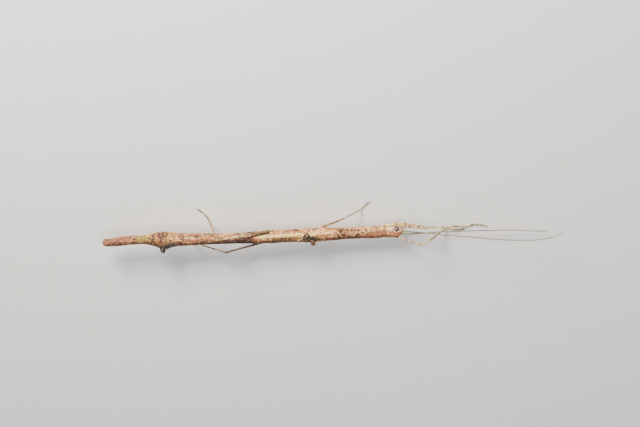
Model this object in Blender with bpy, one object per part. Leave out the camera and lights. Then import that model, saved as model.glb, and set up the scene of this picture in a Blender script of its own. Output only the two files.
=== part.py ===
"""A wingless stick insect at life size, standing with its legs and feelers stretched along its body.

Sizes are in millimetres and become metres as each mesh is made. +X runs along the body toward
the head, +Y is the insect's left side and +Z is its back. It stands on its feet at Z = 0.
"""

import math

import bmesh
import bpy
import numpy as np
from mathutils import Vector

MM = 0.001

# ---- Driving dimensions, in millimetres ----
GAP = 0.1                 # clearance that touching pieces keep
TAIL_HEIGHT = 7.26        # height of the body's centre line over the floor at the tail tip
HEAD_HEIGHT = 3.92        # and at the front of the head
FLATNESS = 0.92           # a body ring's height over its width
BELLY_FLATNESS = 0.94     # depth of a ring's lower half over that of its upper half
RIM = 0.035               # how far a segment's rear edge stands out, as a share of its width
RIM_REACH = 0.7           # length over which that edge fades
TIP_REACH = 1.1           # length over which the tail tip closes
SEGMENT_LENGTHS = {
    "abdomen_10": 4.2,
    "abdomen_9": 5.8,
    "abdomen_8": 6.0,
    "abdomen_7": 6.6,
    "abdomen_6": 6.8,
    "abdomen_5": 6.8,
    "abdomen_4": 6.4,
    "abdomen_3": 6.2,
    "abdomen_2": 5.4,
    "abdomen_1": 5.6,
    "metathorax": 11.1,
    "mesothorax": 15.7,
    "prothorax": 6.5,
    "head": 5.2,
}
BODY_LENGTH = sum(SEGMENT_LENGTHS.values())
NECK = BODY_LENGTH - SEGMENT_LENGTHS["head"]

# Width of the body at distances from the tail tip: slim tail, swollen seventh segment, narrow
# waist, then the thorax with its widest place between the middle legs.
BODY_WIDTHS = (
    (0.0, 2.1), (3.0, 2.75), (13.5, 2.95), (15.5, 3.5), (19.6, 6.0), (24.0, 4.5), (31.0, 4.15),
    (37.5, 3.6), (43.5, 3.6), (51.0, 4.3), (61.0, 4.35), (68.0, 4.8), (75.0, 4.3), (82.5, 3.85),
    (90.0, 4.15), (93.1, 3.2),
)
WIDTH_SOFTNESS = 0.9      # distance over which the changes of width are rounded
# How far the centre line wanders to the left at distances from the tail tip.
BODY_SWAY = (
    (0.0, -0.5), (5.0, -0.1), (13.0, 0.5), (20.0, 0.0), (32.0, -0.2), (40.0, -0.5), (52.0, -0.5),
    (60.0, -0.3), (68.0, -0.4), (82.0, -0.25), (98.3, -0.2),
)
SWAY_SOFTNESS = 3.0
# Rings of the head: distance from the neck, width, height and drop of the ring's centre.
HEAD_RINGS = (
    (0.0, 2.9, 2.7, 0.0), (0.6, 3.6, 3.2, 0.0), (1.7, 4.1, 3.5, 0.0), (2.9, 4.2, 3.5, 0.05),
    (3.9, 3.75, 3.2, 0.1), (4.6, 3.0, 2.6, 0.25), (5.05, 2.1, 1.9, 0.4), (5.2, 1.2, 1.1, 0.5),
)
EYE_RADIUS = 0.88
EYE_FLATNESS = 0.78                   # an eye's thickness over its width
EYE_PLACE = (3.1, 1.34, 0.52)         # from the neck's centre: forward, to the side and up
ANTENNA_ROOT = (4.75, 0.62, 0.75)     # where a feeler leaves the head, from the neck's centre
MOUTH_TOP = (4.3, 0.0, -0.6)
MOUTH_TIP = (4.9, 0.0, -2.1)
MOUTH_WIDTHS = (1.7, 1.5, 0.9)
PALP_JOINTS = ((3.2, 0.7, -1.7), (3.9, 0.95, -2.25), (4.8, 0.85, -2.55))
PALP_WIDTH = 0.52

# Legs: widths of their pieces and radii of the rounded joints.
COXA_WIDTH = 1.9
HIP_RADIUS = 0.62
KNEE_RADIUS = 0.46
ANKLE_RADIUS = 0.3
FEMUR_WIDTHS = {"fore": 0.78, "mid": 0.86, "hind": 0.84}
FEMUR_DEPTHS = {"fore": 1.62, "mid": 1.0, "hind": 1.0}
TIBIA_WIDTH = 0.58
TARSUS_WIDTH = 0.52
FORE_BASE_WIDTH = 0.66    # thin curved base of a fore thigh, beside the head
BLADE_TILT = math.radians(38)         # how far the fore thigh's flat side leans outward
TEETH = 8                 # teeth on the upper edge of a fore thigh
TOOTH_HEIGHT = 0.16
TOE_SHARES = (0.0, 0.4, 0.58, 0.71, 0.82, 1.0)    # where the five foot segments meet
PAD_LENGTH = 0.35

# The pose: joints of each leg as distance from the tail tip, offset to the left and height, and
# how far the foot bows to the left.
LEGS = {
    "fore_left": {"root": (92.0, 0.5, 3.7), "hip": (92.7, 1.45, 3.0), "bend": (95.6, 2.45, 3.7),
                  "knee": (106.2, 1.4, 4.45), "ankle": (119.5, -1.6, 0.3), "toe": (125.8, -1.6, 0.3),
                  "bow": 0.7},
    "fore_right": {"root": (92.0, -0.8, 3.7), "hip": (92.8, -2.0, 2.7), "bend": (95.8, -3.15, 3.3),
                   "knee": (104.6, -2.25, 9.3), "ankle": (112.9, -2.2, 0.3), "toe": (118.0, -2.9, 0.3),
                   "bow": -0.2},
    "mid_left": {"root": (71.3, 0.7, 4.2), "hip": (72.2, 2.2, 3.9), "knee": (78.0, 8.9, 9.1),
                 "ankle": (84.9, 6.3, 0.3), "toe": (87.2, 9.1, 0.3), "bow": 0.2},
    "hind_left": {"root": (56.4, 0.6, 5.5), "hip": (55.3, 2.15, 5.5), "knee": (38.0, 3.4, 11.5),
                  "ankle": (34.3, 4.0, 0.3), "toe": (31.6, 7.2, 0.3), "bow": -0.2},
    "hind_right": {"root": (56.4, -1.1, 4.9), "hip": (55.6, -2.6, 4.3), "knee": (40.1, -5.6, 6.9),
                   "ankle": (28.3, -6.0, 0.3), "toe": (23.0, -6.5, 0.3), "bow": -0.2},
}

# The right middle leg is a short regrown one, curled over the back. Its joints are given as distance
# from the tail tip, turn round the body from the left side over the back in degrees, and lift over
# the body's surface.
REGROWN_ROOT = (69.6, 178, -1.4)
REGROWN_THIGH = ((68.5, 178, 1.1), (68.9, 160, 1.15), (69.2, 138, 0.85), (69.2, 112, 0.65), (68.3, 88, 0.62))
REGROWN_SHIN = ((67.9, 70, 0.6), (66.9, 40, 0.5), (66.0, 60, 0.55), (65.7, 86, 0.5))
REGROWN_FOOT = ((65.2, 97, 0.45), (64.3, 102, 0.42), (63.3, 105, 0.42))
REGROWN_WIDTHS = {"thigh": 0.95, "shin": 0.6, "foot": 0.5}

# A bark-like knob on the swollen seventh segment, placed in the same way.
KNOB_PLACE = (19.8, 142, 0.42)
KNOB_RADIUS = 0.95

# The feelers' routes beyond their roots, and their widths at the root and at the tip.
ANTENNA_ROUTES = {
    "left": ((101.0, 0.3, 5.1), (105.8, 0.15, 5.7), (112.0, 0.05, 6.8), (120.0, 0.15, 8.1),
             (130.0, -0.3, 9.3), (141.2, -1.0, 8.9), (147.0, -1.0, 7.6), (150.6, -0.3, 6.1)),
    "right": ((101.0, -0.8, 4.9), (105.9, -1.0, 4.2), (112.0, -1.15, 3.5), (120.0, -1.6, 2.8),
              (130.0, -2.1, 2.2), (139.0, -2.6, 1.9), (146.0, -3.1, 2.0)),
}
SCAPE_LENGTH = 1.7
SCAPE_START = 0.25         # how far from its root in the head a feeler's solid begins
SCAPE_WIDTHS = (0.62, 0.78, 0.6)
ANTENNA_LENGTHS = 2       # lengths that each feeler's thread is divided into
ANTENNA_SPACING = 3.5     # distance between the rings of a thread
ANTENNA_WIDTHS = (0.56, 0.5)    # of the first length and of the second
CERCUS_LENGTH = 1.3
CERCUS_WIDTH = 0.62
CERCUS_TIP = (0.2, 0.38, -0.98)       # from the middle of the tail tip
CERCUS_SPREAD = 0.25      # how much farther apart their roots are
PLATE_SPAN = (1.7, 13.2)  # egg-laying plate under the tail, as distances from the tail tip
PLATE_WIDTH = 1.9
PLATE_DEPTH = 0.75         # its depth over its width
PLATE_SINK = 0.15          # how far its middle lies inside the belly

# Mesh fineness
BODY_SIDES = 16
LIMB_SIDES = 8
THREAD_SIDES = 6
RING_SPACING = 1.4
DOME_ANGLES = (30, 58, 78)

COLOURS = {
    "thorax_cuticle": (0.55, 0.37, 0.26),
    "abdomen_cuticle": (0.50, 0.35, 0.24),
    "tail_cuticle": (0.60, 0.37, 0.24),
    "head_cuticle": (0.66, 0.47, 0.39),
    "eye": (0.10, 0.05, 0.07),
    "antenna_cuticle": (0.36, 0.30, 0.20),
    "femur_cuticle": (0.52, 0.40, 0.28),
    "tibia_cuticle": (0.45, 0.36, 0.22),
    "foot_cuticle": (0.42, 0.33, 0.22),
    "regrown_cuticle": (0.22, 0.15, 0.17),
}
ROUGHNESS = {"eye": 0.15}
PLAIN_ROUGHNESS = 0.7


# ---- Materials and meshes ----

def material(name):
    """Return the named finish, made the first time that it is asked for."""
    found = bpy.data.materials.get(name)
    if found:
        return found
    made = bpy.data.materials.new(name)
    made.use_nodes = True
    shader = made.node_tree.nodes["Principled BSDF"]
    shader.inputs["Base Color"].default_value = (*COLOURS[name], 1.0)
    shader.inputs["Roughness"].default_value = ROUGHNESS.get(name, PLAIN_ROUGHNESS)
    shader.inputs["Metallic"].default_value = 0.0
    return made


def loft(name, rings, finish):
    """Skin a closed solid over rings of points and give it its name and finish."""
    mesh_maker = bmesh.new()
    rows = [[mesh_maker.verts.new(Vector(point) * MM) for point in ring] for ring in rings]
    count = len(rows[0])
    for row, following in zip(rows, rows[1:]):
        for i in range(count):
            j = (i + 1) % count
            mesh_maker.faces.new((row[i], row[j], following[j], following[i]))
    mesh_maker.faces.new(list(reversed(rows[0])))
    mesh_maker.faces.new(rows[-1])
    bmesh.ops.recalc_face_normals(mesh_maker, faces=mesh_maker.faces)
    return finish_object(name, mesh_maker, finish)


def finish_object(name, mesh_maker, finish):
    """Turn a bmesh into a smooth-shaded object."""
    mesh = bpy.data.meshes.new(name)
    mesh_maker.to_mesh(mesh)
    mesh_maker.free()
    mesh.shade_smooth()
    mesh.set_sharp_from_angle(angle=math.radians(40))
    made = bpy.data.objects.new(name, mesh)
    bpy.context.scene.collection.objects.link(made)
    if finish:
        made.data.materials.append(material(finish))
    return made


def cut_by(piece, *cutters):
    """Take the cutters' space out of a piece."""
    for cutter in cutters:
        cut = piece.modifiers.new("fit_" + cutter.name, "BOOLEAN")
        cut.operation = "DIFFERENCE"
        cut.solver = "EXACT"
        cut.object = cutter


def as_cutter(guide):
    """Mark an object as a guide that is no part of the insect."""
    guide.hide_render = True
    guide.display_type = "WIRE"
    return guide


# ---- The body's form ----

def soft_value(keys, place, softness):
    """Read a value between hand-set places, with the corners rounded over a distance."""
    places, values = zip(*keys)
    window = place + np.linspace(-softness, softness, 9)
    return float(np.mean(np.interp(window, places, values)))


def body_centre(place):
    """Centre of the body at a distance from the tail tip."""
    height = TAIL_HEIGHT + (HEAD_HEIGHT - TAIL_HEIGHT) * place / BODY_LENGTH
    return Vector((place, soft_value(BODY_SWAY, place, SWAY_SOFTNESS), height))


def cross_ring(centre, width, height, sides=BODY_SIDES):
    """Ring of points across the body: round, a little flatter underneath."""
    points = []
    for i in range(sides):
        turn = 2 * math.pi * (i + 0.5) / sides
        side = math.cos(turn) * width / 2
        rise = math.sin(turn) * height / 2
        if rise < 0:
            rise *= BELLY_FLATNESS
        points.append(centre + Vector((0, side, rise)))
    return points


def body_ring(place, scale=1.0, extra=0.0):
    """Ring of the body at a distance from the tail tip."""
    width = soft_value(BODY_WIDTHS, place, WIDTH_SOFTNESS) * scale + 2 * extra
    return cross_ring(body_centre(place), width, width * FLATNESS)


def on_body(place, degrees, lift):
    """Point over the body's surface, turned from its left side over the back."""
    turn = math.radians(degrees)
    half_width = soft_value(BODY_WIDTHS, place, WIDTH_SOFTNESS) / 2
    across = (half_width + lift) * math.cos(turn)
    rise = (half_width * FLATNESS + lift) * math.sin(turn)
    return body_centre(place) + Vector((0, across, rise))


def segment_spans():
    """Start and end of each segment, as distances from the tail tip."""
    spans = {}
    place = 0.0
    for name, length in SEGMENT_LENGTHS.items():
        spans[name] = (place, place + length)
        place += length
    return spans


def body_segment(name, start, end):
    """One segment of the trunk, with its raised rear edge and flat ends."""
    first = start + GAP / 2
    last = end - GAP / 2
    steps = max(3, round((last - first) / RING_SPACING))
    rings = []
    for step in range(steps + 1):
        place = first + (last - first) * step / steps
        rim = 1 + RIM * math.exp(-(place - first) / RIM_REACH)
        rings.append(body_ring(place, rim))
    return loft(name, rings, finish_of(name))


def finish_of(name):
    """Name of the finish that a part of the trunk wears."""
    if name in ("abdomen_8", "abdomen_9", "abdomen_10"):
        return "tail_cuticle"
    return "abdomen_cuticle" if name.startswith("abdomen") else "thorax_cuticle"


def tail_end(name, start, end):
    """Last segment, rounded off at the tip."""
    rings = []
    for angle in reversed(DOME_ANGLES):
        turn = math.radians(angle)
        place = start + TIP_REACH * (1 - math.sin(turn))
        rings.append(body_ring(place, math.cos(turn)))
    last = end - GAP / 2
    full = start + TIP_REACH
    for place in (full, (full + last) / 2, last):
        rings.append(body_ring(place))
    return loft(name, rings, finish_of(name))


def body_clearance(name, start, end):
    """The trunk's form over a stretch, swollen by the clearance, to cut its neighbours with."""
    steps = round((end - start) / RING_SPACING)
    rings = [body_ring(start + (end - start) * step / steps, 1 + RIM, GAP) for step in range(steps + 1)]
    return as_cutter(loft(name, rings, None))


def build_trunk():
    """All segments from the tail to the neck, and the knob on the swollen one."""
    for name, (start, end) in segment_spans().items():
        if name == "abdomen_10":
            tail_end(name, start, end)
        elif name != "head":
            body_segment(name, start, end)
    knob = ball("knob", on_body(*KNOB_PLACE), KNOB_RADIUS, "abdomen_cuticle")
    cut_by(knob, body_clearance("swelling_clearance", 16.0, 24.0))


# ---- The head ----

def head_point(offset, side=1):
    """Place a point given from the neck's centre, on the left or the right side."""
    forward, sideways, up = offset
    return body_centre(NECK) + Vector((forward, side * sideways, up))


def head_solid(name, extra=0.0):
    """Head capsule, lofted from the neck to the face."""
    rings = []
    for forward, width, height, drop in HEAD_RINGS:
        centre = head_point((forward, 0, -drop))
        rings.append(cross_ring(centre, width + 2 * extra, height + 2 * extra))
    rings[0] = [point + Vector((GAP / 2 - extra, 0, 0)) for point in rings[0]]
    rings[-1] = [point + Vector((extra, 0, 0)) for point in rings[-1]]
    return loft(name, rings, None if extra else "head_cuticle")


def ball(name, centre, radius, finish, flatness=1.0):
    """Round ball, or one that is flatter from side to side."""
    mesh_maker = bmesh.new()
    bmesh.ops.create_uvsphere(mesh_maker, u_segments=14, v_segments=9, radius=radius * MM)
    bmesh.ops.scale(mesh_maker, vec=(1, flatness, 1), verts=mesh_maker.verts)
    made = finish_object(name, mesh_maker, finish)
    made.location = centre * MM
    return made


def build_head():
    """Head, eyes, mouth and palps."""
    head = head_solid("head")
    clearance = as_cutter(head_solid("head_clearance", GAP))
    for side_name, side in (("left", 1), ("right", -1)):
        centre = head_point(EYE_PLACE, side)
        ball(f"eye_{side_name}", centre, EYE_RADIUS, "eye", EYE_FLATNESS)
        socket = ball(f"eye_socket_{side_name}", centre, EYE_RADIUS + 1.5 * GAP, None, EYE_FLATNESS)
        cut_by(head, as_cutter(socket))
        joints = [head_point(offset, side) for offset in PALP_JOINTS]
        palp = tube(f"palp_{side_name}", joints, [PALP_WIDTH] * 3, "head_cuticle", THREAD_SIDES)
        cut_by(palp, clearance)
    top, tip = head_point(MOUTH_TOP), head_point(MOUTH_TIP)
    mouth = tube("mouth", [top, top.lerp(tip, 0.5), tip], MOUTH_WIDTHS, "head_cuticle", LIMB_SIDES)
    cut_by(mouth, clearance)


# ---- Tubes for legs and feelers ----

def tube_ring(centre, along, flat, width, depth, sides, tooth=0.0):
    """Ring across a limb. Its depth runs along the flat direction, where a tooth may stand."""
    up = (flat - along * flat.dot(along)).normalized()
    across = up.cross(along).normalized()
    points = []
    for i in range(sides):
        turn = 2 * math.pi * i / sides
        rise = math.cos(turn) * depth / 2
        if i == 0:
            rise += tooth
        points.append(centre + across * math.sin(turn) * width / 2 + up * rise)
    return points


def directions_along(path):
    """Direction of travel at each point of a path."""
    ways = []
    for i in range(len(path)):
        before = path[max(i - 1, 0)]
        after = path[min(i + 1, len(path) - 1)]
        ways.append((after - before).normalized())
    return ways


def curve_points(places, spacing):
    """Points along a smooth curve through the given places."""
    points = []
    padded = [2 * places[0] - places[1], *places, 2 * places[-1] - places[-2]]
    for before, start, end, after in zip(padded, padded[1:], padded[2:], padded[3:]):
        steps = max(1, round((end - start).length / spacing))
        for step in range(steps):
            t = step / steps
            drift = (end - before) * t
            bend = (2 * before - 5 * start + 4 * end - after) * t ** 2
            swing = (3 * start - before - 3 * end + after) * t ** 3
            points.append(start + (drift + bend + swing) / 2)
    points.append(places[-1])
    return points


def tube(name, path, widths, finish, sides, flat=Vector((0, 0, 1)), depths=None, teeth=None):
    """Solid limb along a path, with a width, depth and tooth for each of its points."""
    depths = depths or widths
    teeth = teeth or [0.0] * len(path)
    ways = directions_along(path)
    rings = [
        tube_ring(centre, way, flat, width, depth, sides, tooth)
        for centre, way, width, depth, tooth in zip(path, ways, widths, depths, teeth)
    ]
    return loft(name, rings, finish)


def rounded_end(path, widths, depths, radius):
    """Add a round knob, centred on the path's end, to a limb's path and sizes."""
    end = path[-1]
    way = (end - path[-2]).normalized()
    for angle in DOME_ANGLES:
        turn = math.radians(angle)
        path.append(end + way * radius * math.sin(turn))
        widths.append(2 * radius * math.cos(turn))
        depths.append(2 * radius * math.cos(turn))


# ---- Legs ----

def coxa(name, joints, clearances):
    """Short stout base of a leg, fitted against the trunk."""
    path = [joints["root"], (joints["root"] + joints["hip"]) / 2, joints["hip"]]
    widths = [COXA_WIDTH, COXA_WIDTH, 2 * HIP_RADIUS]
    depths = list(widths)
    rounded_end(path, widths, depths, HIP_RADIUS)
    piece = tube(name, path, widths, "femur_cuticle", LIMB_SIDES + 2, Vector((1, 0, 0)), depths)
    cut_by(piece, *clearances)


def plain_femur(name, joints, pair, clearances):
    """Thigh of a middle or hind leg: a straight, slightly spindle-shaped bar."""
    way = (joints["knee"] - joints["hip"]).normalized()
    start = joints["hip"] + way * (HIP_RADIUS + GAP)
    path = []
    widths = []
    depths = []
    for share in (0.0, 0.06, 0.3, 0.6, 0.9, 1.0):
        path.append(start.lerp(joints["knee"], share))
        swell = 1 - 0.24 * share - 0.2 * math.exp(-share / 0.04)
        widths.append(FEMUR_WIDTHS[pair] * swell)
        depths.append(FEMUR_DEPTHS[pair] * swell)
    widths[-1] = depths[-1] = 2 * KNEE_RADIUS
    rounded_end(path, widths, depths, KNEE_RADIUS)
    piece = tube(name, path, widths, "femur_cuticle", LIMB_SIDES, Vector((0, 0, 1)), depths)
    cut_by(piece, *clearances)


def fore_femur(name, joints, side, clearances):
    """Thigh of a fore leg: a thin curved base beside the head, then a flat blade with teeth."""
    hip, bend, knee = joints["hip"], joints["bend"], joints["knee"]
    way_in = (bend - hip).normalized()
    start = hip + way_in * (HIP_RADIUS + GAP)
    path = [start, start.lerp(bend, 0.55)]
    widths = [FORE_BASE_WIDTH] * 2
    depths = [FORE_BASE_WIDTH] * 2
    teeth = [0.0] * 2
    steps = 2 * TEETH
    for step in range(steps + 1):
        share = step / steps
        opened = min(1.0, 0.45 + step * 0.4)
        path.append(bend.lerp(knee, share))
        widths.append(FEMUR_WIDTHS["fore"] * (1 - 0.1 * share))
        depths.append((FEMUR_DEPTHS["fore"] * (1 - share) + 2 * KNEE_RADIUS * share) * opened)
        teeth.append(TOOTH_HEIGHT if step % 2 and step < steps - 1 else 0.0)
    widths[-1] = depths[-1] = 2 * KNEE_RADIUS
    rounded_end(path, widths, depths, KNEE_RADIUS)
    teeth += [0.0] * len(DOME_ANGLES)
    blade = Vector((0, side * math.cos(BLADE_TILT), -math.sin(BLADE_TILT)))
    piece = tube(name, path, widths, "femur_cuticle", LIMB_SIDES, blade, depths, teeth)
    cut_by(piece, *clearances)


def tibia(name, joints):
    """Shin: a thin straight rod from the knee to the ankle."""
    way = (joints["ankle"] - joints["knee"]).normalized()
    start = joints["knee"] + way * (KNEE_RADIUS + GAP)
    end = joints["ankle"] - way * (ANKLE_RADIUS + GAP)
    path = [start.lerp(end, share) for share in (0.0, 0.08, 0.5, 0.9, 1.0)]
    widths = [TIBIA_WIDTH * swell for swell in (1.15, 1.0, 0.92, 0.92, 1.0)]
    tube(name, path, widths, "tibia_cuticle", THREAD_SIDES)


def foot_ring(centre, along, width, height):
    """Eight-sided ring of a foot whose lowest side lies on the floor."""
    across = Vector((0, 0, 1)).cross(along).normalized()
    points = []
    for i in range(LIMB_SIDES):
        turn = 2 * math.pi * (i + 0.5) / LIMB_SIDES
        reach = 1 / math.cos(math.pi / LIMB_SIDES) / 2
        rise = height / 2 + math.sin(turn) * height * reach
        points.append(Vector((centre.x, centre.y, rise)) + across * math.cos(turn) * width * reach)
    return points


def tarsus(name, joints, bow):
    """Foot of five short segments that lies flat on the floor and ends in a pad."""
    heel, toe = joints["ankle"], joints["toe"]
    left = Vector((0, 0, 1)).cross(toe - heel).normalized()
    path = []
    sizes = []
    for start, end in zip(TOE_SHARES, TOE_SHARES[1:]):
        for share, swell in ((start + 0.02, 0.96), (end - 0.025, 1.12)):
            path.append(heel.lerp(toe, share) + left * bow * 4 * share * (1 - share))
            sizes.append((TARSUS_WIDTH * swell, TARSUS_WIDTH * swell))
    first_way = (path[1] - path[0]).normalized()
    last_way = (path[-1] - path[-2]).normalized()
    for angle in DOME_ANGLES:
        turn = math.radians(angle)
        size = 2 * ANKLE_RADIUS * math.cos(turn)
        path.insert(0, heel - first_way * ANKLE_RADIUS * math.sin(turn))
        sizes.insert(0, (size, size))
    path += [toe, toe + last_way * PAD_LENGTH]
    sizes += [(TARSUS_WIDTH * 1.3, TARSUS_WIDTH), (TARSUS_WIDTH * 0.9, TARSUS_WIDTH * 0.6)]
    ways = directions_along(path)
    rings = [foot_ring(centre, way, *size) for centre, way, size in zip(path, ways, sizes)]
    loft(name, rings, "foot_cuticle")


def regrown_leg(clearances):
    """Short right middle leg that has grown again and lies curled over the back."""
    thigh = [on_body(*place) for place in REGROWN_THIGH]
    joints = {"root": on_body(*REGROWN_ROOT), "hip": thigh[0]}
    coxa("coxa_mid_right", joints, clearances)
    thigh[0] = thigh[0] + (thigh[1] - thigh[0]).normalized() * (HIP_RADIUS + GAP)
    shin = [on_body(*place) for place in REGROWN_SHIN]
    foot = [on_body(*place) for place in REGROWN_FOOT]
    for name, path, finish in (("thigh", thigh, "regrown_cuticle"), ("shin", shin, "regrown_cuticle"),
                               ("foot", foot, "foot_cuticle")):
        route = curve_points(path, 0.6)
        widths = [REGROWN_WIDTHS[name]] * len(route)
        node = {"thigh": "femur", "shin": "tibia", "foot": "tarsus"}[name] + "_mid_right"
        cut_by(tube(node, route, widths, finish, THREAD_SIDES), *clearances)


def build_legs():
    """Five full legs of four pieces each, and the regrown one."""
    thorax = body_clearance("thorax_clearance", 50.0, NECK)
    head = bpy.data.objects["head_clearance"]
    for leg, pose in LEGS.items():
        pair, side_name = leg.split("_")
        joints = {joint: Vector(place) for joint, place in pose.items() if joint != "bow"}
        clearances = (thorax, head) if pair == "fore" else (thorax,)
        coxa(f"coxa_{leg}", joints, clearances)
        if pair == "fore":
            fore_femur(f"femur_{leg}", joints, 1 if side_name == "left" else -1, clearances)
        else:
            plain_femur(f"femur_{leg}", joints, pair, clearances)
        tibia(f"tibia_{leg}", joints)
        tarsus(f"tarsus_{leg}", joints, pose["bow"])
    regrown_leg((thorax,))


# ---- Feelers and tail pieces ----

def build_antennae():
    """Each feeler: a base joint and a long thread in a few lengths."""
    for side_name, side in (("left", 1), ("right", -1)):
        root = head_point(ANTENNA_ROOT, side)
        route = [root] + [Vector(place) for place in ANTENNA_ROUTES[side_name]]
        way = (route[1] - root).normalized()
        scape_end = root + way * SCAPE_LENGTH
        start = root + way * SCAPE_START
        scape_path = [start, start.lerp(scape_end, 0.5), scape_end]
        scape = tube(f"antenna_base_{side_name}", scape_path, SCAPE_WIDTHS, "antenna_cuticle", LIMB_SIDES)
        cut_by(scape, bpy.data.objects["head_clearance"])
        thread = curve_points([scape_end + way * GAP] + route[2:], ANTENNA_SPACING)
        share = math.ceil((len(thread) - 1) / ANTENNA_LENGTHS)
        for number in range(ANTENNA_LENGTHS):
            part = thread[number * share:(number + 1) * share + 1]
            if number:
                part[0] = part[0] + (part[1] - part[0]).normalized() * GAP
            widths = [ANTENNA_WIDTHS[number]] * len(part)
            name = f"antenna_{side_name}_{number + 1}"
            tube(name, part, widths, "antenna_cuticle", THREAD_SIDES)


def build_tail_pieces():
    """Two short cerci beside the tail tip and the keeled plate under the tail."""
    clearance = body_clearance("tail_clearance", -2 * GAP, PLATE_SPAN[1] + 3)
    for side_name, side in (("left", 1), ("right", -1)):
        forward, sideways, up = CERCUS_TIP
        tip = body_centre(0) + Vector((forward, side * sideways, up))
        root = tip + Vector((CERCUS_LENGTH, side * CERCUS_SPREAD, -CERCUS_SPREAD))
        path = [root, root.lerp(tip, 0.5), tip]
        widths = [CERCUS_WIDTH * 0.8, CERCUS_WIDTH, CERCUS_WIDTH * 0.75]
        piece = tube(f"cercus_{side_name}", path, widths, "tail_cuticle", LIMB_SIDES)
        cut_by(piece, clearance)
    start, end = PLATE_SPAN
    path = []
    widths = []
    for share, swell in ((0.0, 0.45), (0.12, 0.75), (0.4, 1.0), (0.75, 1.0), (1.0, 0.6)):
        place = start + (end - start) * share
        half_height = soft_value(BODY_WIDTHS, place, WIDTH_SOFTNESS) * FLATNESS / 2
        path.append(body_centre(place) - Vector((0, 0, half_height - PLATE_SINK)))
        widths.append(PLATE_WIDTH * swell)
    depths = [width * PLATE_DEPTH for width in widths]
    plate = tube("egg_plate", path, widths, "tail_cuticle", LIMB_SIDES, Vector((0, 0, 1)), depths)
    cut_by(plate, clearance)


def centre_on_floor():
    """Bring the middle of the insect's footprint to the origin."""
    bpy.context.view_layer.update()
    corners = []
    for piece in bpy.data.objects:
        if not piece.hide_render:
            corners += [piece.matrix_world @ vertex.co for vertex in piece.data.vertices]
    low = Vector([min(corner[axis] for corner in corners) for axis in range(3)])
    high = Vector([max(corner[axis] for corner in corners) for axis in range(3)])
    middle = (low + high) / 2
    for piece in bpy.data.objects:
        piece.location -= Vector((middle.x, middle.y, low.z))


def main():
    for leftover in list(bpy.data.objects):
        bpy.data.objects.remove(leftover)
    build_trunk()
    build_head()
    build_legs()
    build_antennae()
    build_tail_pieces()
    centre_on_floor()


main()
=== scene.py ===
# %% [markdown]
# # A stick insect at life size
# The model is a wingless stick insect, about 98 mm long without its feelers, standing still with its
# legs stretched along its body like twigs. The frame brings plain solids for every part. This lesson
# dresses them: one fine skin for body and head, then eyes, mouthparts, feelers, legs and claws.

# %% Load the frame
import math

import bmesh
import bpy
import numpy as np
from mathutils import Matrix, Vector, noise


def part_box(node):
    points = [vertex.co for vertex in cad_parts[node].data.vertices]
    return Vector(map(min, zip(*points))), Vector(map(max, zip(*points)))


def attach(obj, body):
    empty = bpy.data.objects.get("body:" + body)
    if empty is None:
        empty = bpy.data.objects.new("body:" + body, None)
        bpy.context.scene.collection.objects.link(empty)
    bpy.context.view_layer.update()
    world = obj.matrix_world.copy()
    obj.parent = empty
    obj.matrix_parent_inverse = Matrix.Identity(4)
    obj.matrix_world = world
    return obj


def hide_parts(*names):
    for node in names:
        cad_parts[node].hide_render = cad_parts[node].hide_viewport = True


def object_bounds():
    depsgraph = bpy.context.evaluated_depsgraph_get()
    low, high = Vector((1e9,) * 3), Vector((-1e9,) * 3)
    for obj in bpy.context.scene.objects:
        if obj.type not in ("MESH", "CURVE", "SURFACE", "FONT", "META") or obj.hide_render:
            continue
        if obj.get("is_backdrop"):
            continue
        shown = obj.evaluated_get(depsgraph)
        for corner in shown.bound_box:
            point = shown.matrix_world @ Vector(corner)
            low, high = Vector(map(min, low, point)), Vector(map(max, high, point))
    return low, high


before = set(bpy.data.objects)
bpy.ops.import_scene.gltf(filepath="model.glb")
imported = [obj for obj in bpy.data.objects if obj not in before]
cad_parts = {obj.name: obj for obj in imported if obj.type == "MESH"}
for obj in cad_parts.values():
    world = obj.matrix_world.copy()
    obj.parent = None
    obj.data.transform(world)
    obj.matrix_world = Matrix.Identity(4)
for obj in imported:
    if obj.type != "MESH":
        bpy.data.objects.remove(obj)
cad_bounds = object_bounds()
MM = 0.001
size = [round(v / MM, 1) for v in cad_bounds[1] - cad_bounds[0]]
print("solids:", len(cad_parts), "size in mm:", size)

# %% [markdown]
# ## Reading the solids
# Every size here comes from the solids, so that the skin fits them. The solids were lofted over rings
# of points, so cutting a solid's corners into rings again gives back its centre line and its
# thickness. That is steadier than typing the numbers a second time, because they can't disagree.

# %% Helpers that measure a solid
UP = Vector((0, 0, 1))
ALONG_BODY = Vector((1, 0, 0))
RING_GAP = 0.2            # mm between two rings of a solid, at the least


def box_corners(name):
    """Lowest and highest corner of a solid's box, in millimetres."""
    return [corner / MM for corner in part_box(name)]


def box_middle(name):
    """Middle of a solid's box, in millimetres."""
    return sum(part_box(name), Vector()) / 2 / MM


def corners(*names):
    """All corners of the named solids, in millimetres."""
    rows = []
    for name in names:
        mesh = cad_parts[name].data
        flat = np.empty(len(mesh.vertices) * 3)
        mesh.vertices.foreach_get("co", flat)
        rows.append(flat.reshape(-1, 3))
    return np.unique(np.round(np.concatenate(rows) / MM, 4), axis=0)


def rings_of(points, gap, axis=None, fewest=4):
    """Split points into rings wherever they leave a gap along an axis, by default the longest one."""
    middle = points.mean(0)
    if axis is None:
        axis = np.linalg.svd(points - middle, full_matrices=False)[2][0]
    along = (points - middle) @ np.array(axis)
    order = np.argsort(along)
    breaks = np.where(np.diff(along[order]) > gap)[0] + 1
    return [points[group] for group in np.split(order, breaks) if len(group) >= fewest]


def middle_of(ring):
    """Centre of a ring of points."""
    return Vector((ring.min(0) + ring.max(0)) / 2)


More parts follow.
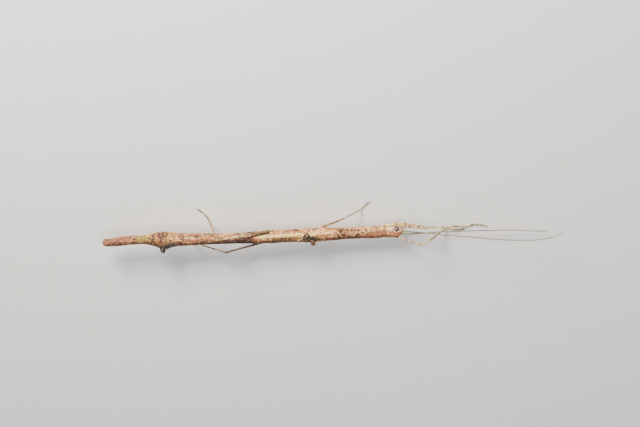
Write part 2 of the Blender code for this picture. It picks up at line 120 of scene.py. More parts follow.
def ends_of(name, first=None):
    """Middles of a straight solid's two ends, the one nearer to the point `first` leading."""
    rings = rings_of(corners(name), 0.05)
    ends = [middle_of(rings[0]), middle_of(rings[-1])]
    if first and (ends[1] - first).length < (ends[0] - first).length:
        ends.reverse()
    return ends


tail_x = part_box("abdomen_10")[0].x / MM
head_low, head_high = box_corners("head")
neck_x = head_low.x
head_length = head_high.x - head_low.x
eye_middles = [box_middle(f"eye_{side}") for side in ("left", "right")]
head_y = (eye_middles[0].y + eye_middles[1].y) / 2
print("tail to neck in mm:", round(neck_x - tail_x, 2), "head length:", round(head_length, 2))

# %% [markdown]
# ## Camera
# The viewer looks down on the insect's left side, from far away with a long lens, so that the slim
# body keeps its true proportions from end to end. The camera is rolled half a turn, because the insect
# may sit on a leaf at any angle: the head points right and the left side is up in the view.

# %% Set up the camera
VIEW_FROM_BACK = math.radians(38)       # how far the view leans from straight above to the left side
VIEW_ROLL = math.radians(1.02)
VIEW_DISTANCE = 600                     # mm
LENS = 101.6                            # mm, a long lens
SENSOR = 36                             # mm
NEAREST = 0.01                          # m, what lies nearer than this isn't drawn
AIM = Vector((tail_x + 71.25, head_y + 0.22, -5.87))

back = Vector((0, math.sin(VIEW_FROM_BACK), math.cos(VIEW_FROM_BACK)))
rise = back.cross(ALONG_BODY)
right = ALONG_BODY * math.cos(VIEW_ROLL) - rise * math.sin(VIEW_ROLL)
top = ALONG_BODY * math.sin(VIEW_ROLL) + rise * math.cos(VIEW_ROLL)
camera = bpy.data.objects.new("camera", bpy.data.cameras.new("camera"))
bpy.context.scene.collection.objects.link(camera)
camera.data.lens = LENS
camera.data.sensor_width = SENSOR
camera.data.clip_start = NEAREST
camera.matrix_world = Matrix.Translation((AIM + back * VIEW_DISTANCE) * MM) @ Matrix(
    (right, top, back)).transposed().to_4x4()
bpy.context.scene.camera = camera
print("camera at", [round(v, 3) for v in camera.matrix_world.translation])

# %% [markdown]
# ## Floor and light
# A plain pale floor and three soft lamps stand in for a display table. The main lamp shines from
# the insect's left and a little from behind it, which lights the upper side in the view and leaves
# the far side of the round body in shade.

# %% Set up the floor, the lamps and the air's own light
def lamp(name, place, size, power, colour=(1, 1, 1)):
    """Square soft lamp that shines on the insect's middle. Place and size are in metres."""
    light = bpy.data.lights.new(name, "AREA")
    light.size = size
    light.energy = power
    light.color = colour
    made = bpy.data.objects.new(name, light)
    bpy.context.scene.collection.objects.link(made)
    made.location = place
    made.rotation_mode = "QUATERNION"
    made.rotation_quaternion = Vector(place).to_track_quat("Z", "Y")


AIR_COLOUR = (0.90, 0.89, 0.87, 1)
AIR_STRENGTH = 0.25
FLOOR_REACH = 2           # m from the middle to each edge

lamp("main_lamp", (-0.14, 0.42, 0.20), 0.13, 5.4, (1.0, 0.95, 0.88))
lamp("far_lamp", (0.25, -0.35, 0.40), 0.30, 0.25, (0.93, 0.96, 1.0))
lamp("top_lamp", (0.0, 0.20, 0.55), 0.35, 1.7)
air = bpy.data.worlds.new("air")
air.use_nodes = True
air.node_tree.nodes["Background"].inputs["Color"].default_value = AIR_COLOUR
air.node_tree.nodes["Background"].inputs["Strength"].default_value = AIR_STRENGTH
bpy.context.scene.world = air

floor_mesh = bpy.data.meshes.new("floor")
floor_corners = [(x * FLOOR_REACH, y * FLOOR_REACH, 0) for x, y in ((-1, -1), (1, -1), (1, 1), (-1, 1))]
floor_mesh.from_pydata(floor_corners, [], [(0, 1, 2, 3)])
floor = bpy.data.objects.new("floor", floor_mesh)
bpy.context.scene.collection.objects.link(floor)
floor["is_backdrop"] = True

# %% [markdown]
# ## Mixing finishes
# A finish is a small network of shader nodes. Writing every node by hand is long, so a helper object
# adds one node for each method call and hands back its output. The patterns read the place on the
# object in metres, so a grain has the same size on every piece, and they read the numbers that a skin
# carries at its own corners wherever a mark belongs to one place on the body.

# %% A helper for colours
def shade(red, green, blue):
    """Screen colour from 0 to 255 as the linear colour that shaders mix."""
    linear = [((v / 255 + 0.055) / 1.055) ** 2.4 for v in (red, green, blue)]
    return (*linear, 1.0)


print("middle grey is", round(shade(128, 128, 128)[0], 3), "in linear light")

# %% [markdown]
# The helper object below is a finish under construction. Sizes are given in millimetres and shares from
# 0 to 1, and every method hands back a socket, so the layers of a finish read from the ground up.

# %% A helper for shader nodes
class Finish:
    """A material under construction."""

    def __init__(self, name, roughness=0.6):
        self.material = bpy.data.materials.new(name)
        self.material.use_nodes = True
        self.tree = self.material.node_tree
        self.shader = self.tree.nodes["Principled BSDF"]
        self.shader.inputs["Roughness"].default_value = roughness
        self.place = self.add("ShaderNodeTexCoord").outputs["Object"]

    def add(self, kind, **inputs):
        """Add a node and set or link its inputs, which are named by words or by i0, i1 and so on."""
        node = self.tree.nodes.new(kind)
        for key, value in inputs.items():
            socket = node.inputs[int(key[1:]) if key[1:].isdigit() else key]
            if isinstance(value, bpy.types.NodeSocket):
                self.tree.links.new(value, socket)
            else:
                socket.default_value = value
        return node

    def sum(self, operation, first, second=0.0, third=0.0):
        """One step of arithmetic."""
        node = self.add("ShaderNodeMath", i0=first, i1=second, i2=third)
        node.operation = operation
        return node.outputs[0]

    def grain(self, size, detail=3.0, stretch=(1, 1, 1)):
        """Cloudy noise from 0 to 1 with blotches about `size` millimetres across."""
        scale = [1 / (size * MM * part) for part in stretch]
        place = self.add("ShaderNodeVectorMath", i0=self.place, i1=scale)
        place.operation = "MULTIPLY"
        node = self.add("ShaderNodeTexNoise", Vector=place.outputs[0], Scale=1.0, Detail=detail)
        return node.outputs["Fac"]

    def cells(self, size):
        """Distance to the nearest of many scattered points about `size` millimetres apart."""
        node = self.add("ShaderNodeTexVoronoi", Vector=self.place, Scale=1 / (size * MM))
        return node.outputs["Distance"]

    def ramp(self, value, low, high):
        """0 below `low`, 1 above `high` and a soft step between; the ends may be swapped."""
        node = self.add("ShaderNodeMapRange", Value=value)
        node.interpolation_type = "SMOOTHSTEP"
        node.inputs["From Min"].default_value = low
        node.inputs["From Max"].default_value = high
        return node.outputs["Result"]

    def mark(self, name):
        """Number that the skin carries at its corners."""
        node = self.add("ShaderNodeAttribute")
        node.attribute_name = name
        return node.outputs["Fac"]

    def part(self, share, amount):
        """A weaker share of a layer."""
        return self.sum("MULTIPLY", share, amount)

    def ragged(self, label, edges, low=0.35, high=0.65):
        """A painted mark whose edge is broken up by noise."""
        return self.ramp(self.sum("ADD", self.mark(label), edges), low, high)

    def mix(self, share, first, second):
        """Blend of two colours. A mix node's colours are its inputs 6 and 7 and its output 2."""
        node = self.add("ShaderNodeMix", Factor=share)
        node.data_type = "RGBA"
        for value, socket in ((first, node.inputs[6]), (second, node.inputs[7])):
            if isinstance(value, bpy.types.NodeSocket):
                self.tree.links.new(value, socket)
            else:
                socket.default_value = value
        return node.outputs[2]

    def wear(self, colour, height=None, depth=0.05, roughness=None):
        """Link the finished colour, and a height map whose bumps are `depth` millimetres deep."""
        self.tree.links.new(colour, self.shader.inputs["Base Color"])
        if height:
            bump = self.add("ShaderNodeBump", Height=height, Strength=0.9, Distance=depth * MM)
            self.tree.links.new(bump.outputs[0], self.shader.inputs["Normal"])
        if roughness:
            self.tree.links.new(roughness, self.shader.inputs["Roughness"])
        return self.material


print("methods of a finish:", [name for name in vars(Finish) if not name.startswith("_")])

# %% [markdown]
# The floor is the first to wear a finish: plain pale paper, with clouds so faint that only the light
# seems to change.

# %% Finish the floor
paper = Finish("pale_paper", 0.85)
paper_colour = paper.mix(paper.grain(9), shade(244, 243, 239), shade(249, 248, 245))
floor.data.materials.append(paper.wear(paper_colour, paper.grain(0.8), 0.03))
print("floor finish:", floor.data.materials[0].name)

# %% [markdown]
# ## Making skins
# A skin is a closed tube: rings of points joined by quads, with a fan of triangles at each end. Body,
# legs and feelers are all tubes, so one function makes them all. It also stores the marks that it is
# given at the corners, which finishes read.

# %% A helper that turns rings into meshes
def corners_of(shells):
    """All corners of closed shells in the mesh's order: each shell's rings, then its two end points."""
    return np.concatenate([block for rings in shells for block in (
        rings.reshape(-1, 3), rings[:1].mean(1), rings[-1:].mean(1))])


def mesh_piece(name, shells, finish, marks=None):
    """One object from closed shells. A shell is its rings (rings, sides, 3) in millimetres."""
    base = 0
    faces = []
    for rings in shells:
        count, sides = rings.shape[:2]
        row, side = np.meshgrid(np.arange(count - 1), np.arange(sides), indexing="ij")
        following = (side + 1) % sides
        quads = np.stack([row * sides + side, row * sides + following,
                          (row + 1) * sides + following, (row + 1) * sides + side], -1) + base
        faces += quads.reshape(-1, 4).tolist()
        start, last = base + count * sides, base + (count - 1) * sides
        for side in range(sides):
            following = (side + 1) % sides
            faces.append((start, base + following, base + side))
            faces.append((start + 1, last + side, last + following))
        base = start + 2
    mesh = bpy.data.meshes.new(name)
    mesh.from_pydata(corners_of(shells) * MM, [], faces)
    mesh.shade_smooth()
    mesh.materials.append(finish)
    for label, values in (marks or {}).items():
        layer = mesh.attributes.new(label, "FLOAT", "POINT")
        layer.data.foreach_set("value", np.asarray(values, dtype=np.float32).ravel())
    made = bpy.data.objects.new(name, mesh)
    bpy.context.scene.collection.objects.link(made)
    return made


print("ready: corners_of, mesh_piece")

# %% [markdown]
# Three more helpers serve every piece: one hangs it in the frame, and two give noise at points in
# space. Noise that reads the place itself has no seam and stays the same however fine the mesh is.

# %% Helpers that hang a piece and roughen it
def dress(piece, slot, *nodes):
    """Hang a finished piece in the frame, in the place of the solids that it stands for."""
    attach(piece, "root")
    if nodes:
        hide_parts(*nodes)
    print(piece.name, "faces:", len(piece.data.polygons), "stands for:", ", ".join(nodes) or "nothing")


def wavy(points, size, seed=0.0):
    """Smooth noise from -1 to 1 at each point, with waves about `size` millimetres long."""
    shift = Vector((seed, 1.7 * seed, -seed))
    flat = points.reshape(-1, 3) / size
    return np.array([noise.noise(Vector(p) + shift) for p in flat]).reshape(points.shape[:-1])


def warts(points, size, seed=0.0):
    """Round bumps from 0 to 1, about `size` millimetres apart."""
    shift = Vector((seed, -seed, 2.3 * seed))
    flat = points.reshape(-1, 3) / size
    near = np.array([noise.voronoi(Vector(p) + shift)[0][0] for p in flat])
    return np.clip(1 - near / 0.45, 0, 1).reshape(points.shape[:-1]) ** 1.5


print("ready: dress, wavy, warts")

# %% [markdown]
# ## The body's form
# The trunk has ten abdomen segments and three thorax segments, with the head in front. The skin takes
# its centre line, width and height from the rings of the solids and rounds them with a soft moving
# average, because a real body has no corners between its rings. Real dimensions such as the raised rear
# edge of each segment are then added as a relief on top.

# %% Measure the trunk
ABDOMEN_SEGMENTS = 10
SEGMENTS = [f"abdomen_{number}" for number in range(ABDOMEN_SEGMENTS, 0, -1)]
SEGMENTS += ["metathorax", "mesothorax", "prothorax"]
SIDES = 112
RING_STEP = 0.16          # mm between the skin's rings
TIP_ROUNDING = 1.6        # mm over which the tail tip closes
TIP_RINGS = 14
NECK_GAP = 0.05           # mm left free before the neck, and after it
TIP_CAP = 3               # rings that close the tail segment's solid
RING_FULLNESS = 1 / math.cos(math.pi / 16)      # a solid's ring is widest between its corners

borders = [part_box(name)[0].x / MM - tail_x for name in SEGMENTS[1:]] + [neck_x - tail_x]
measures = []
for name in SEGMENTS:
    rings = rings_of(corners(name), RING_GAP, ALONG_BODY, 12)
    for ring in rings[TIP_CAP if name == SEGMENTS[0] else 1:]:      # the first rings close a rear end
        low, high = ring.min(0), ring.max(0)
        measures.append((low[0] - tail_x, *(low + high)[1:] / 2, *(high - low)[1:] / 2 * RING_FULLNESS))
measures = np.array(measures)


def soft_measure(column, places, softness=0.8):
    """A measured value along the body, averaged over a short stretch."""
    window = np.linspace(-softness, softness, 7)
    return np.interp(places[:, None] + window, measures[:, 0], measures[:, column]).mean(1)


tip_places = TIP_ROUNDING * (1 - np.cos(np.linspace(0.08, math.pi / 2, TIP_RINGS)))
neck_place = neck_x - tail_x
places = np.arange(TIP_ROUNDING + RING_STEP, neck_place - NECK_GAP, RING_STEP)
places = np.concatenate([tip_places, places])
tip_scale = np.sqrt(np.clip(1 - ((TIP_ROUNDING - places) / TIP_ROUNDING) ** 2, 0, 1))
tip_scale[places >= TIP_ROUNDING] = 1
print("rings in the trunk:", len(places), "segment borders:", [round(b, 1) for b in borders])

# %% [markdown]
# ## The head's form
# The head is an oval capsule, a little longer than wide, with the eyes at the sides of its front half.
# Its rings are given as shares of the solid's own length, width and height, so it follows the solid if
# that changes. It is a continuation of the trunk's skin, with a narrow neck between them.

# %% Shape the head
# share of the length, share of the width, share of the height, drop of the centre in mm
HEAD_RINGS = (
    (0.00, 0.88, 0.90, 0.00), (0.05, 0.90, 0.91, 0.00), (0.12, 0.93, 0.93, -0.02),
    (0.22, 0.96, 0.95, 0.00), (0.34, 0.99, 0.98, 0.02), (0.47, 1.00, 0.99, 0.05),
    (0.60, 0.97, 0.96, 0.10), (0.72, 0.89, 0.89, 0.18), (0.82, 0.77, 0.80, 0.30),
    (0.90, 0.60, 0.66, 0.42), (0.96, 0.42, 0.48, 0.50), (1.00, 0.18, 0.22, 0.56),
)
HEAD_STEPS = 60
HEAD_WIDTH = head_high.y - head_low.y
HEAD_HEIGHT = 3.45        # mm, without the lip below it

head_share = np.sin(np.linspace(0, 1, HEAD_STEPS) * math.pi / 2)
shares, head_widths, head_heights, head_drops = np.array(HEAD_RINGS).T
head_places = neck_place + NECK_GAP + head_share * (head_length - NECK_GAP)
neck_y, neck_z = [np.interp(neck_place, measures[:, 0], measures[:, column]) for column in (1, 2)]


def head_value(values):
    """A head ring's value, averaged over a short stretch."""
    window = np.linspace(-0.03, 0.03, 5)
    return np.interp(head_share[:, None] + window, shares, values).mean(1)


all_places = np.concatenate([places, head_places])
centre_y = np.concatenate([soft_measure(1, places), np.full(HEAD_STEPS, neck_y)])
centre_z = np.concatenate([soft_measure(2, places), neck_z - head_value(head_drops)])
half_width = np.concatenate([
    soft_measure(3, places) * tip_scale, head_value(head_widths) * HEAD_WIDTH / 2])
half_height = np.concatenate([
    soft_measure(4, places) * tip_scale, head_value(head_heights) * HEAD_HEIGHT / 2])
print("rings in all:", len(all_places))

# %% [markdown]
# ## Relief
# The relief is a height in millimetres over the smooth form, worked out for every corner of the skin at
# once. It holds the grooves between segments, the fine ridge along the back, the folds along the
# sides, wrinkles behind the swollen segment, the hips' swellings and grains as on bark.

# %% Add the relief
# all in mm
GROOVE_DEPTH = 0.13
GROOVE_BOW = 0.16         # how far a groove leans forward over the back
RIM_HEIGHT = 0.10
KEEL_HEIGHT = 0.07
WRINKLE_LENGTH = 0.62
HIP_SWELLING = 0.45

turns = (np.arange(SIDES) + 0.5) * 360 / SIDES
along, turn = np.meshgrid(all_places, turns, indexing="ij")
base_ring = np.stack([
    along + tail_x,
    centre_y[:, None] + half_width[:, None] * np.cos(np.radians(turn)),
    centre_z[:, None] + half_height[:, None] * np.sin(np.radians(turn)),
], -1)
in_trunk = (along < neck_place).astype(float)
on_tip = np.clip(along / TIP_ROUNDING, 0, 1)


def bell(value, middle, reach):
    """Smooth bump of height 1 round a middle value."""
    return np.exp(-((value - middle) / reach) ** 2)


def side_of(middle, reach):
    """Smooth bump round a turn of the body, which wraps at the full turn."""
    return np.exp(-(((turn - middle + 180) % 360 - 180) / reach) ** 2)


ripple = wavy(base_ring, 2.2, 3.0)
fibre = base_ring * np.array((0.3, 1, 1))
relief = 0.05 * ripple + 0.05 * wavy(fibre, 0.5, 8.0) + 0.03 * wavy(base_ring, 0.3, 5.0)
relief += 0.07 * warts(base_ring, 0.9, 2.0) * np.clip(wavy(base_ring, 2.0, 9.0) + 0.2, 0, 1) * in_trunk
for border in borders:
    behind = along - border - GROOVE_BOW * np.cos(np.radians(turn - 90))
    relief -= GROOVE_DEPTH * bell(behind, 0, 0.16)
    relief += RIM_HEIGHT * np.exp(-np.clip(behind - 0.15, 0, None) / 0.5) * (behind > 0.15)
relief += KEEL_HEIGHT * side_of(90, 5) * in_trunk
for fold in (-14, 194):
    relief += 0.06 * side_of(fold, 7) * in_trunk
    relief -= 0.05 * side_of(fold - math.copysign(14, 90 - fold), 7) * in_trunk
wrinkled = bell(along, 29, 7) * in_trunk
above = np.sin(np.radians(turn)) > -0.3
relief += 0.03 * np.sin(2 * math.pi * along / WRINKLE_LENGTH + 3 * ripple) * wrinkled * above
swollen = bell(along, 19.4, 2.6)
relief += swollen * (0.16 * warts(base_ring, 1.3, 6.0) + 0.10 * wavy(base_ring, 1.1, 7.0))
relief *= on_tip
print("relief from", round(relief.min(), 3), "to", round(relief.max(), 3), "mm")

# %% [markdown]
# Some bumps belong to one spot: the bark-like knob on the swollen segment, and the hips, where the body
# swells to carry each leg. Their places come from the solids. On the head the skin rises in a rim round
# each eye and sinks where the feelers leave it.

# %% Add the bumps that belong to one spot
def near(point, reach):
    """Smooth bump of height 1 round a point in space."""
    distance = np.linalg.norm(base_ring - np.array(point), axis=-1)
    return np.exp(-(distance / reach) ** 2)


LEGS = ("fore_left", "fore_right", "mid_left", "mid_right", "hind_left", "hind_right")
PLAIN_LEGS = [leg for leg in LEGS if leg != "mid_right"]
for leg in LEGS:
    relief += HIP_SWELLING * near(box_middle(f"coxa_{leg}"), 1.5) * in_trunk
knob_low, knob_high = box_corners("knob")
knob_place = (knob_low + knob_high) / 2
knob_radius = (knob_high.x - knob_low.x) / 2
outward = np.stack([np.zeros_like(turn), np.cos(np.radians(turn)), np.sin(np.radians(turn))], -1)
to_knob = np.array(knob_place) - base_ring
ahead = (to_knob * outward).sum(-1)
within = knob_radius ** 2 - (to_knob ** 2).sum(-1) + ahead ** 2
knob_form = np.where(within > 0, ahead + np.sqrt(np.clip(within, 0, None)), 0)
lumps = 1 + 0.30 * wavy(base_ring, 0.35, 4.0)
rough_ridge = 0.34 * bell(along, 21.4, 1.6) * side_of(128, 24) * (1 + 0.8 * wavy(base_ring, 0.5, 5.0))
relief = np.maximum(relief + rough_ridge, np.clip(knob_form, 0, None) * lumps)
relief += 0.25 * near(knob_place, 1.6)
eye_radius = (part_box("eye_left")[1].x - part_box("eye_left")[0].x) / 2 / MM * 0.98
for middle in eye_middles:
    distance = np.linalg.norm(base_ring - np.array(middle), axis=-1)
    relief += 0.13 * np.exp(-((distance - eye_radius * 1.25) / 0.2) ** 2) * (1 - in_trunk)
    relief -= 0.55 * np.exp(-(distance / (eye_radius * 0.95)) ** 4) * (1 - in_trunk)
feeler_roots = []
for side in ("left", "right"):
    first = rings_of(corners(f"antenna_base_{side}"), RING_GAP, ALONG_BODY, 3)[0]
    feeler_roots.append(middle_of(first))
    away = np.linalg.norm(base_ring - np.array(feeler_roots[-1]), axis=-1)
    relief += (0.16 * bell(away, 0.46, 0.14) - 0.15 * bell(away, 0, 0.28)) * (1 - in_trunk)
relief += 0.08 * side_of(90, 10) * bell(along, neck_place + 1.0, 0.8) * (1 - in_trunk)
relief -= 0.10 * side_of(90, 9) * bell(along, neck_place + 3.6, 1.0) * (1 - in_trunk)
relief += 0.24 * bell(along, neck_place, 0.6) - 0.22 * bell(along, neck_place, 0.16)

skin_rings = base_ring + relief[..., None] * outward
print("knob at", [round(v, 1) for v in knob_place], "eye radius", round(eye_radius, 2))

# %% [markdown]
# ## Markings
# The insect looks like a lichen-grown twig: pinkish tan, with a cream stripe along the side of the
# thorax, a yellow-green patch with black flecks beside it, dark spots in rows and brown arcs over the
# swollen segment. Its far side is darker, partly from its own thicker mottles and partly from painted
# shade, and painted shadows run along the lower edge and beside a thigh. Each marking is painted at the
# skin's corners as a number from 0 to 1, given by its place along the body and its turn round it. The
# finish then breaks up the edges of the marks with fine noise, as real pigment is.

# %% Paint the broad marks
SOFT_DEGREES = 14         # how soft an edge is round the body, for each mm that it is soft along it


def fade(past, soft):
    """1 falling to 0 where a value passes zero, over a soft edge."""
    return 1 / (1 + np.exp(np.clip(past / soft, -30, 30)))


def band(value, low, high, soft):
    """1 between two values, fading at both."""
    return fade(low - value, soft) * fade(value - high, soft)


def patch(first, last, low, high, soft=0.5):
    """Mark over a stretch of the body in mm from the tail and a range of turns in degrees."""
    return band(along, first, last, soft) * band(turn_up, low, high, soft * SOFT_DEGREES)


def patches(*rows):
    """Sum of marks; a row is a mark's strength and then what `patch` takes."""
    return sum(strength * patch(*place) for strength, *place in rows)


turn_up = (turn + 90) % 360 - 90          # from -90 under the body, over the back, to 270
in_head = 1 - in_trunk
pale = patches((0.95, 51, 69.5, 36, 64, 0.30), (0.6, 69, 76, 15, 62), (0.5, 22, 30, 20, 55),
               (0.55, 83, 86.8, -12, 22), (0.45, 38, 52, 12, 40, 0.4), (0.4, 86, 94, 0, 50)) * in_trunk
green = patches((0.85, 56, 66.5, 66, 96), (0.74, 10.9, 15.4, -5, 82), (0.35, 46, 57, 72, 100))
ochre = patches((0.8, 10.5, 24, -30, 96), (0.6, 57, 66, 96, 130))
rust = patches((0.60, 0.3, 10.4, -30, 110), (0.58, 15.5, 22, -30, 110), (0.55, 86.5, 92.5, 20, 120),
               (0.3, 76, 86, 55, 100)) * in_trunk
rust += 0.42 * in_head * band(turn_up, 72, 190, 10)
blush = (0.72 * in_head + 0.35 * band(along, 76, 90, 1)) * band(turn_up, -15, 66 + 10 * ripple, 14)
# painted shade: the far side of the trunk, and a little of the head, is marked shaded, which later mixes in
# a duller brown and thickens the mottles; some patches on the upper side add the same darkening where the
# skin's own mottles are denser
far_side = 0.50 + 0.25 * bell(along, 36, 18) + 0.15 * bell(along, 81, 5)
shaded = band(turn_up, 68, 215, 7) * far_side + 0.12 * ripple
shaded += 0.25 * bell(along, 47, 4) * band(turn_up, 56, 90, 8) - 0.12 * band(along, 86, 93, 1)
shaded += patches((-0.25, 69, 76, 40, 70), (-0.8, 50, 55, 55, 82, 0.3), (0.30, 22, 37, -20, 45),
                  (0.25, 0.5, 10.4, -20, 60), (-0.10, 56.5, 66.5, 64, 88))
shaded = np.clip(shaded, 0, 1) * (in_trunk + 0.3 * in_head)
print("green over", round(float((green > 0.5).mean()) * 100, 1), "% of the skin")

# %% [markdown]
# The darkest marks follow the forms: the rough ridge behind the knob, the knob itself, the borders of
# the segments and the rims of the eyes and feelers. Painted shadows join them: along the body's lower
# edge, under the base of the left fore thigh, and a line on either side of the thigh that lies along
# the body.

# %% Paint the dark marks
ridge_edge = np.interp(along, (19.5, 21.5, 23.5), (88, 77, 64))
dark = 0.62 * band(along, 19.6, 23.8, 0.3) * band(turn_up, ridge_edge, 170, 5)
dark += 0.9 * np.clip(knob_form * 2, 0, 1)
dark += 0.35 * sum(bell(along, border, 0.16) for border in borders) * in_trunk
# painted shadow along the body's lower edge, broken up by noise
dark += 0.55 * band(turn_up, 112, 205, 6) * band(along, 1, 74, 2) * (1 + ripple)
# painted shadow on the neck, under the base of the left fore thigh
dark += 1.0 * patch(93.6, 95.4, -24, -4, 0.25)

# painted shadows: a line on either side of the left hind thigh, measured across the camera's view
sideways = np.array(rise)
thigh_line = np.array(sorted(tuple(point) for point in ends_of("femur_hind_left")))
beside = skin_rings @ sideways - np.interp(skin_rings[..., 0], thigh_line[:, 0], thigh_line @ sideways)
facing = band(turn_up, -34, 130, 3)
dark += 1.1 * bell(beside, -0.80, 0.26) * band(along, 43.6, 55, 0.5) * facing
dark += 0.9 * bell(beside, 0.60, 0.17) * band(along, 37.2, 51, 0.5) * facing * (1 + ripple)

mottled = band(along, 57.2, 59.7, 0.15) + 0.6 * band(along, 59.7, 63, 0.3)
dark += 0.75 * bell(turn_up, 76, 7) * mottled * (1 + 1.5 * wavy(base_ring, 0.45, 15))
for middle in eye_middles:
    from_eye = np.linalg.norm(skin_rings - np.array(middle), axis=-1)
    dark += 1.1 * in_head * fade(from_eye - eye_radius * 1.08, 0.04)
for root in feeler_roots:
    dark += 0.55 * near(root, 0.4) * in_head
print("dark over", round(float((dark > 0.5).mean()) * 100, 1), "% of the skin")

# %% [markdown]
# Arcs and spots are few and lie at fixed places, so they are listed. Noise bends every line and
# frays every spot, because a clean circle looks printed.

# %% Paint the arcs and spots
# turn in degrees and mm from the tail at each bend of an arc, then the arc's half width in mm
ARCS = (
    (((5, 16.7), (42, 16.9), (62, 16.5), (86, 17.3), (105, 18.6)), 0.52),
    (((-12, 18.8), (20, 18.7), (44, 18.9)), 0.54),
    (((-12, 19.9), (25, 20.1), (45, 19.6), (78, 18.9)), 0.42),
    (((-12, 20.9), (20, 21.3), (42, 20.8)), 0.42),
    (((24, 23.2), (32, 23.6), (44, 23.9)), 0.24),
    (((18, 25.3), (34, 25.6)), 0.16),
    (((16, 26.6), (34, 26.3)), 0.16),
)
# mm from the tail, turn in degrees and radius in mm of each spot
BLACK_SPOTS = ((62.8, 0, 0.42), (63.8, 1, 0.45), (10.5, 42, 0.46), (15.5, 42, 0.42))
BROWN_SPOTS = (
    (77.9, 24, 0.50), (80.0, 20, 0.38), (81.5, 24, 0.46), (82.6, 27, 0.32), (83.7, 24, 0.50),
    (86.1, 24, 0.40), (77.8, 42, 0.24), (79.4, 38, 0.20), (77.2, 80, 0.50), (79.0, 72, 0.54),
    (80.9, 84, 0.52), (83.4, 80, 0.70),
)
SPOT_STRENGTH = 0.95
SPOT_EDGE = 0.16          # mm
MM_FOR_DEGREE = 0.036     # round the body

arcs = 0.9 * bell(along, 92.3, 0.7) * bell(turn_up, -12, 9)
for bends, width in ARCS:
    degrees, stations = np.array(bends).T
    line = np.interp(turn_up, degrees, stations) + 0.30 * wavy(base_ring, 0.9, 12.0)
    arcs += 1.1 * bell(along, line, width) * band(turn_up, degrees[0], degrees[-1], 3)
frayed = 0.16 * wavy(base_ring, 0.5, 3.0)
for field, spots in ((dark, BLACK_SPOTS), (arcs, BROWN_SPOTS)):
    for place, degrees, radius in spots:
        offset = np.hypot(along - place, (turn_up - degrees) * MM_FOR_DEGREE) + frayed
        field += SPOT_STRENGTH * fade(offset - radius, SPOT_EDGE)
print("arcs:", len(ARCS), "spots:", len(BLACK_SPOTS) + len(BROWN_SPOTS))

# %% [markdown]
# Two more numbers say where granules stand thickly and where the dark knob has its pale flecks. Each
# field gets the mean of its first and last ring for the two end points that close the skin.

# %% Hand the marks to the skin
grainy = band(turn_up, -20, 200, 8) * (0.25 + 0.5 * ripple + swollen) * on_tip
fields = {
    "pale": pale, "blush": blush, "green": green, "ochre": ochre, "rust": rust, "shaded": shaded,
    "dark": dark, "arcs": arcs, "knotty": band(along, 17.5, 24, 0.3) * np.clip(dark, 0, 1),
    "thickly": np.clip(grainy, 0, 1) * (0.35 + 0.65 * in_trunk),
}
marks = {}
for label, field in fields.items():
    ends = [field[0].mean(), field[-1].mean()]
    marks[label] = np.clip(np.concatenate([field.ravel(), ends]), 0, 1)
print("marks:", {label: round(float(values.mean()), 3) for label, values in marks.items()})

# %% [markdown]
# ## The body's finish
# The colour is mixed in layers, from the ground colour up: blotches of pink, tan and cream, the painted
# marks with ragged edges, then fine dark flecks and pale grains. The bump map adds the granules that are
# too small for the mesh.

# %% Mix the body's finish
PINK = shade(192, 114, 76)
SAND = shade(136, 86, 44)
CREAM = shade(246, 206, 128)
BLUSH = shade(244, 208, 176)
OCHRE = shade(184, 134, 50)
RUST = shade(126, 62, 32)
BLOT = shade(132, 72, 42)
SHADE_AND_MOTTLE_BROWN = shade(86, 52, 38)
MOTTLE = shade(116, 70, 50)
DEEP_MOTTLE = shade(72, 44, 38)
SOOT = shade(38, 23, 23)
ARC = shade(66, 28, 16)
MOSS = shade(122, 106, 10)
UMBER = shade(66, 40, 24)
BARK_AND_SHADOW = shade(22, 13, 15)
ASH = shade(206, 178, 170)

body = Finish("bark_cuticle", 0.55)
ragged = body.sum("MULTIPLY_ADD", body.grain(0.45, 5.0, (1.5, 1, 1)), 2.2, -1.1)
ground = body.mix(body.ramp(body.grain(2.2, 4.0, (2, 1, 1)), 0.38, 0.62), PINK, SAND)
for label, amount, colour in (("ochre", 0.8, OCHRE), ("rust", 0.75, RUST)):
    ground = body.mix(body.part(body.ragged(label, ragged), amount), ground, colour)
blots = body.ramp(body.grain(1.2, 3.0, (1.7, 1, 1)), 0.50, 0.60)
ground = body.mix(body.part(blots, 0.55), ground, BLOT)
without_rust = body.sum("MULTIPLY_ADD", body.mark("rust"), -0.9, 0.8)
clouds = body.ramp(body.grain(0.42, 5.0, (2.2, 1, 1)), 0.50, 0.62)
ground = body.mix(body.sum("MULTIPLY", clouds, without_rust), ground, CREAM)
for label, amount, colour in (("pale", 0.85, CREAM), ("blush", 0.85, BLUSH), ("green", 0.9, MOSS)):
    ground = body.mix(body.part(body.ragged(label, ragged), amount), ground, colour)

# painted shade: the shaded side is mixed with a duller brown, and thick with mottles of two depths
ground = body.mix(body.part(body.mark("shaded"), 0.42), ground, SHADE_AND_MOTTLE_BROWN)
uneven = body.part(body.grain(2.0, 2.0, (2, 1, 1)), 0.35)
thick = body.sum("MULTIPLY_ADD", body.mark("shaded"), 0.30, uneven)
mottles = body.sum("MULTIPLY_ADD", body.grain(0.48, 5.0, (1.8, 1, 1)), 1.0, thick)
mottle_colour = body.mix(body.ramp(body.grain(0.9), 0.42, 0.58), MOTTLE, DEEP_MOTTLE)
ground = body.mix(body.part(body.ramp(mottles, 0.76, 0.84), 0.9), ground, mottle_colour)
ground = body.mix(body.part(body.ramp(mottles, 0.88, 0.96), 0.8), ground, SOOT)
print("layers so far:", len(body.tree.nodes), "nodes")
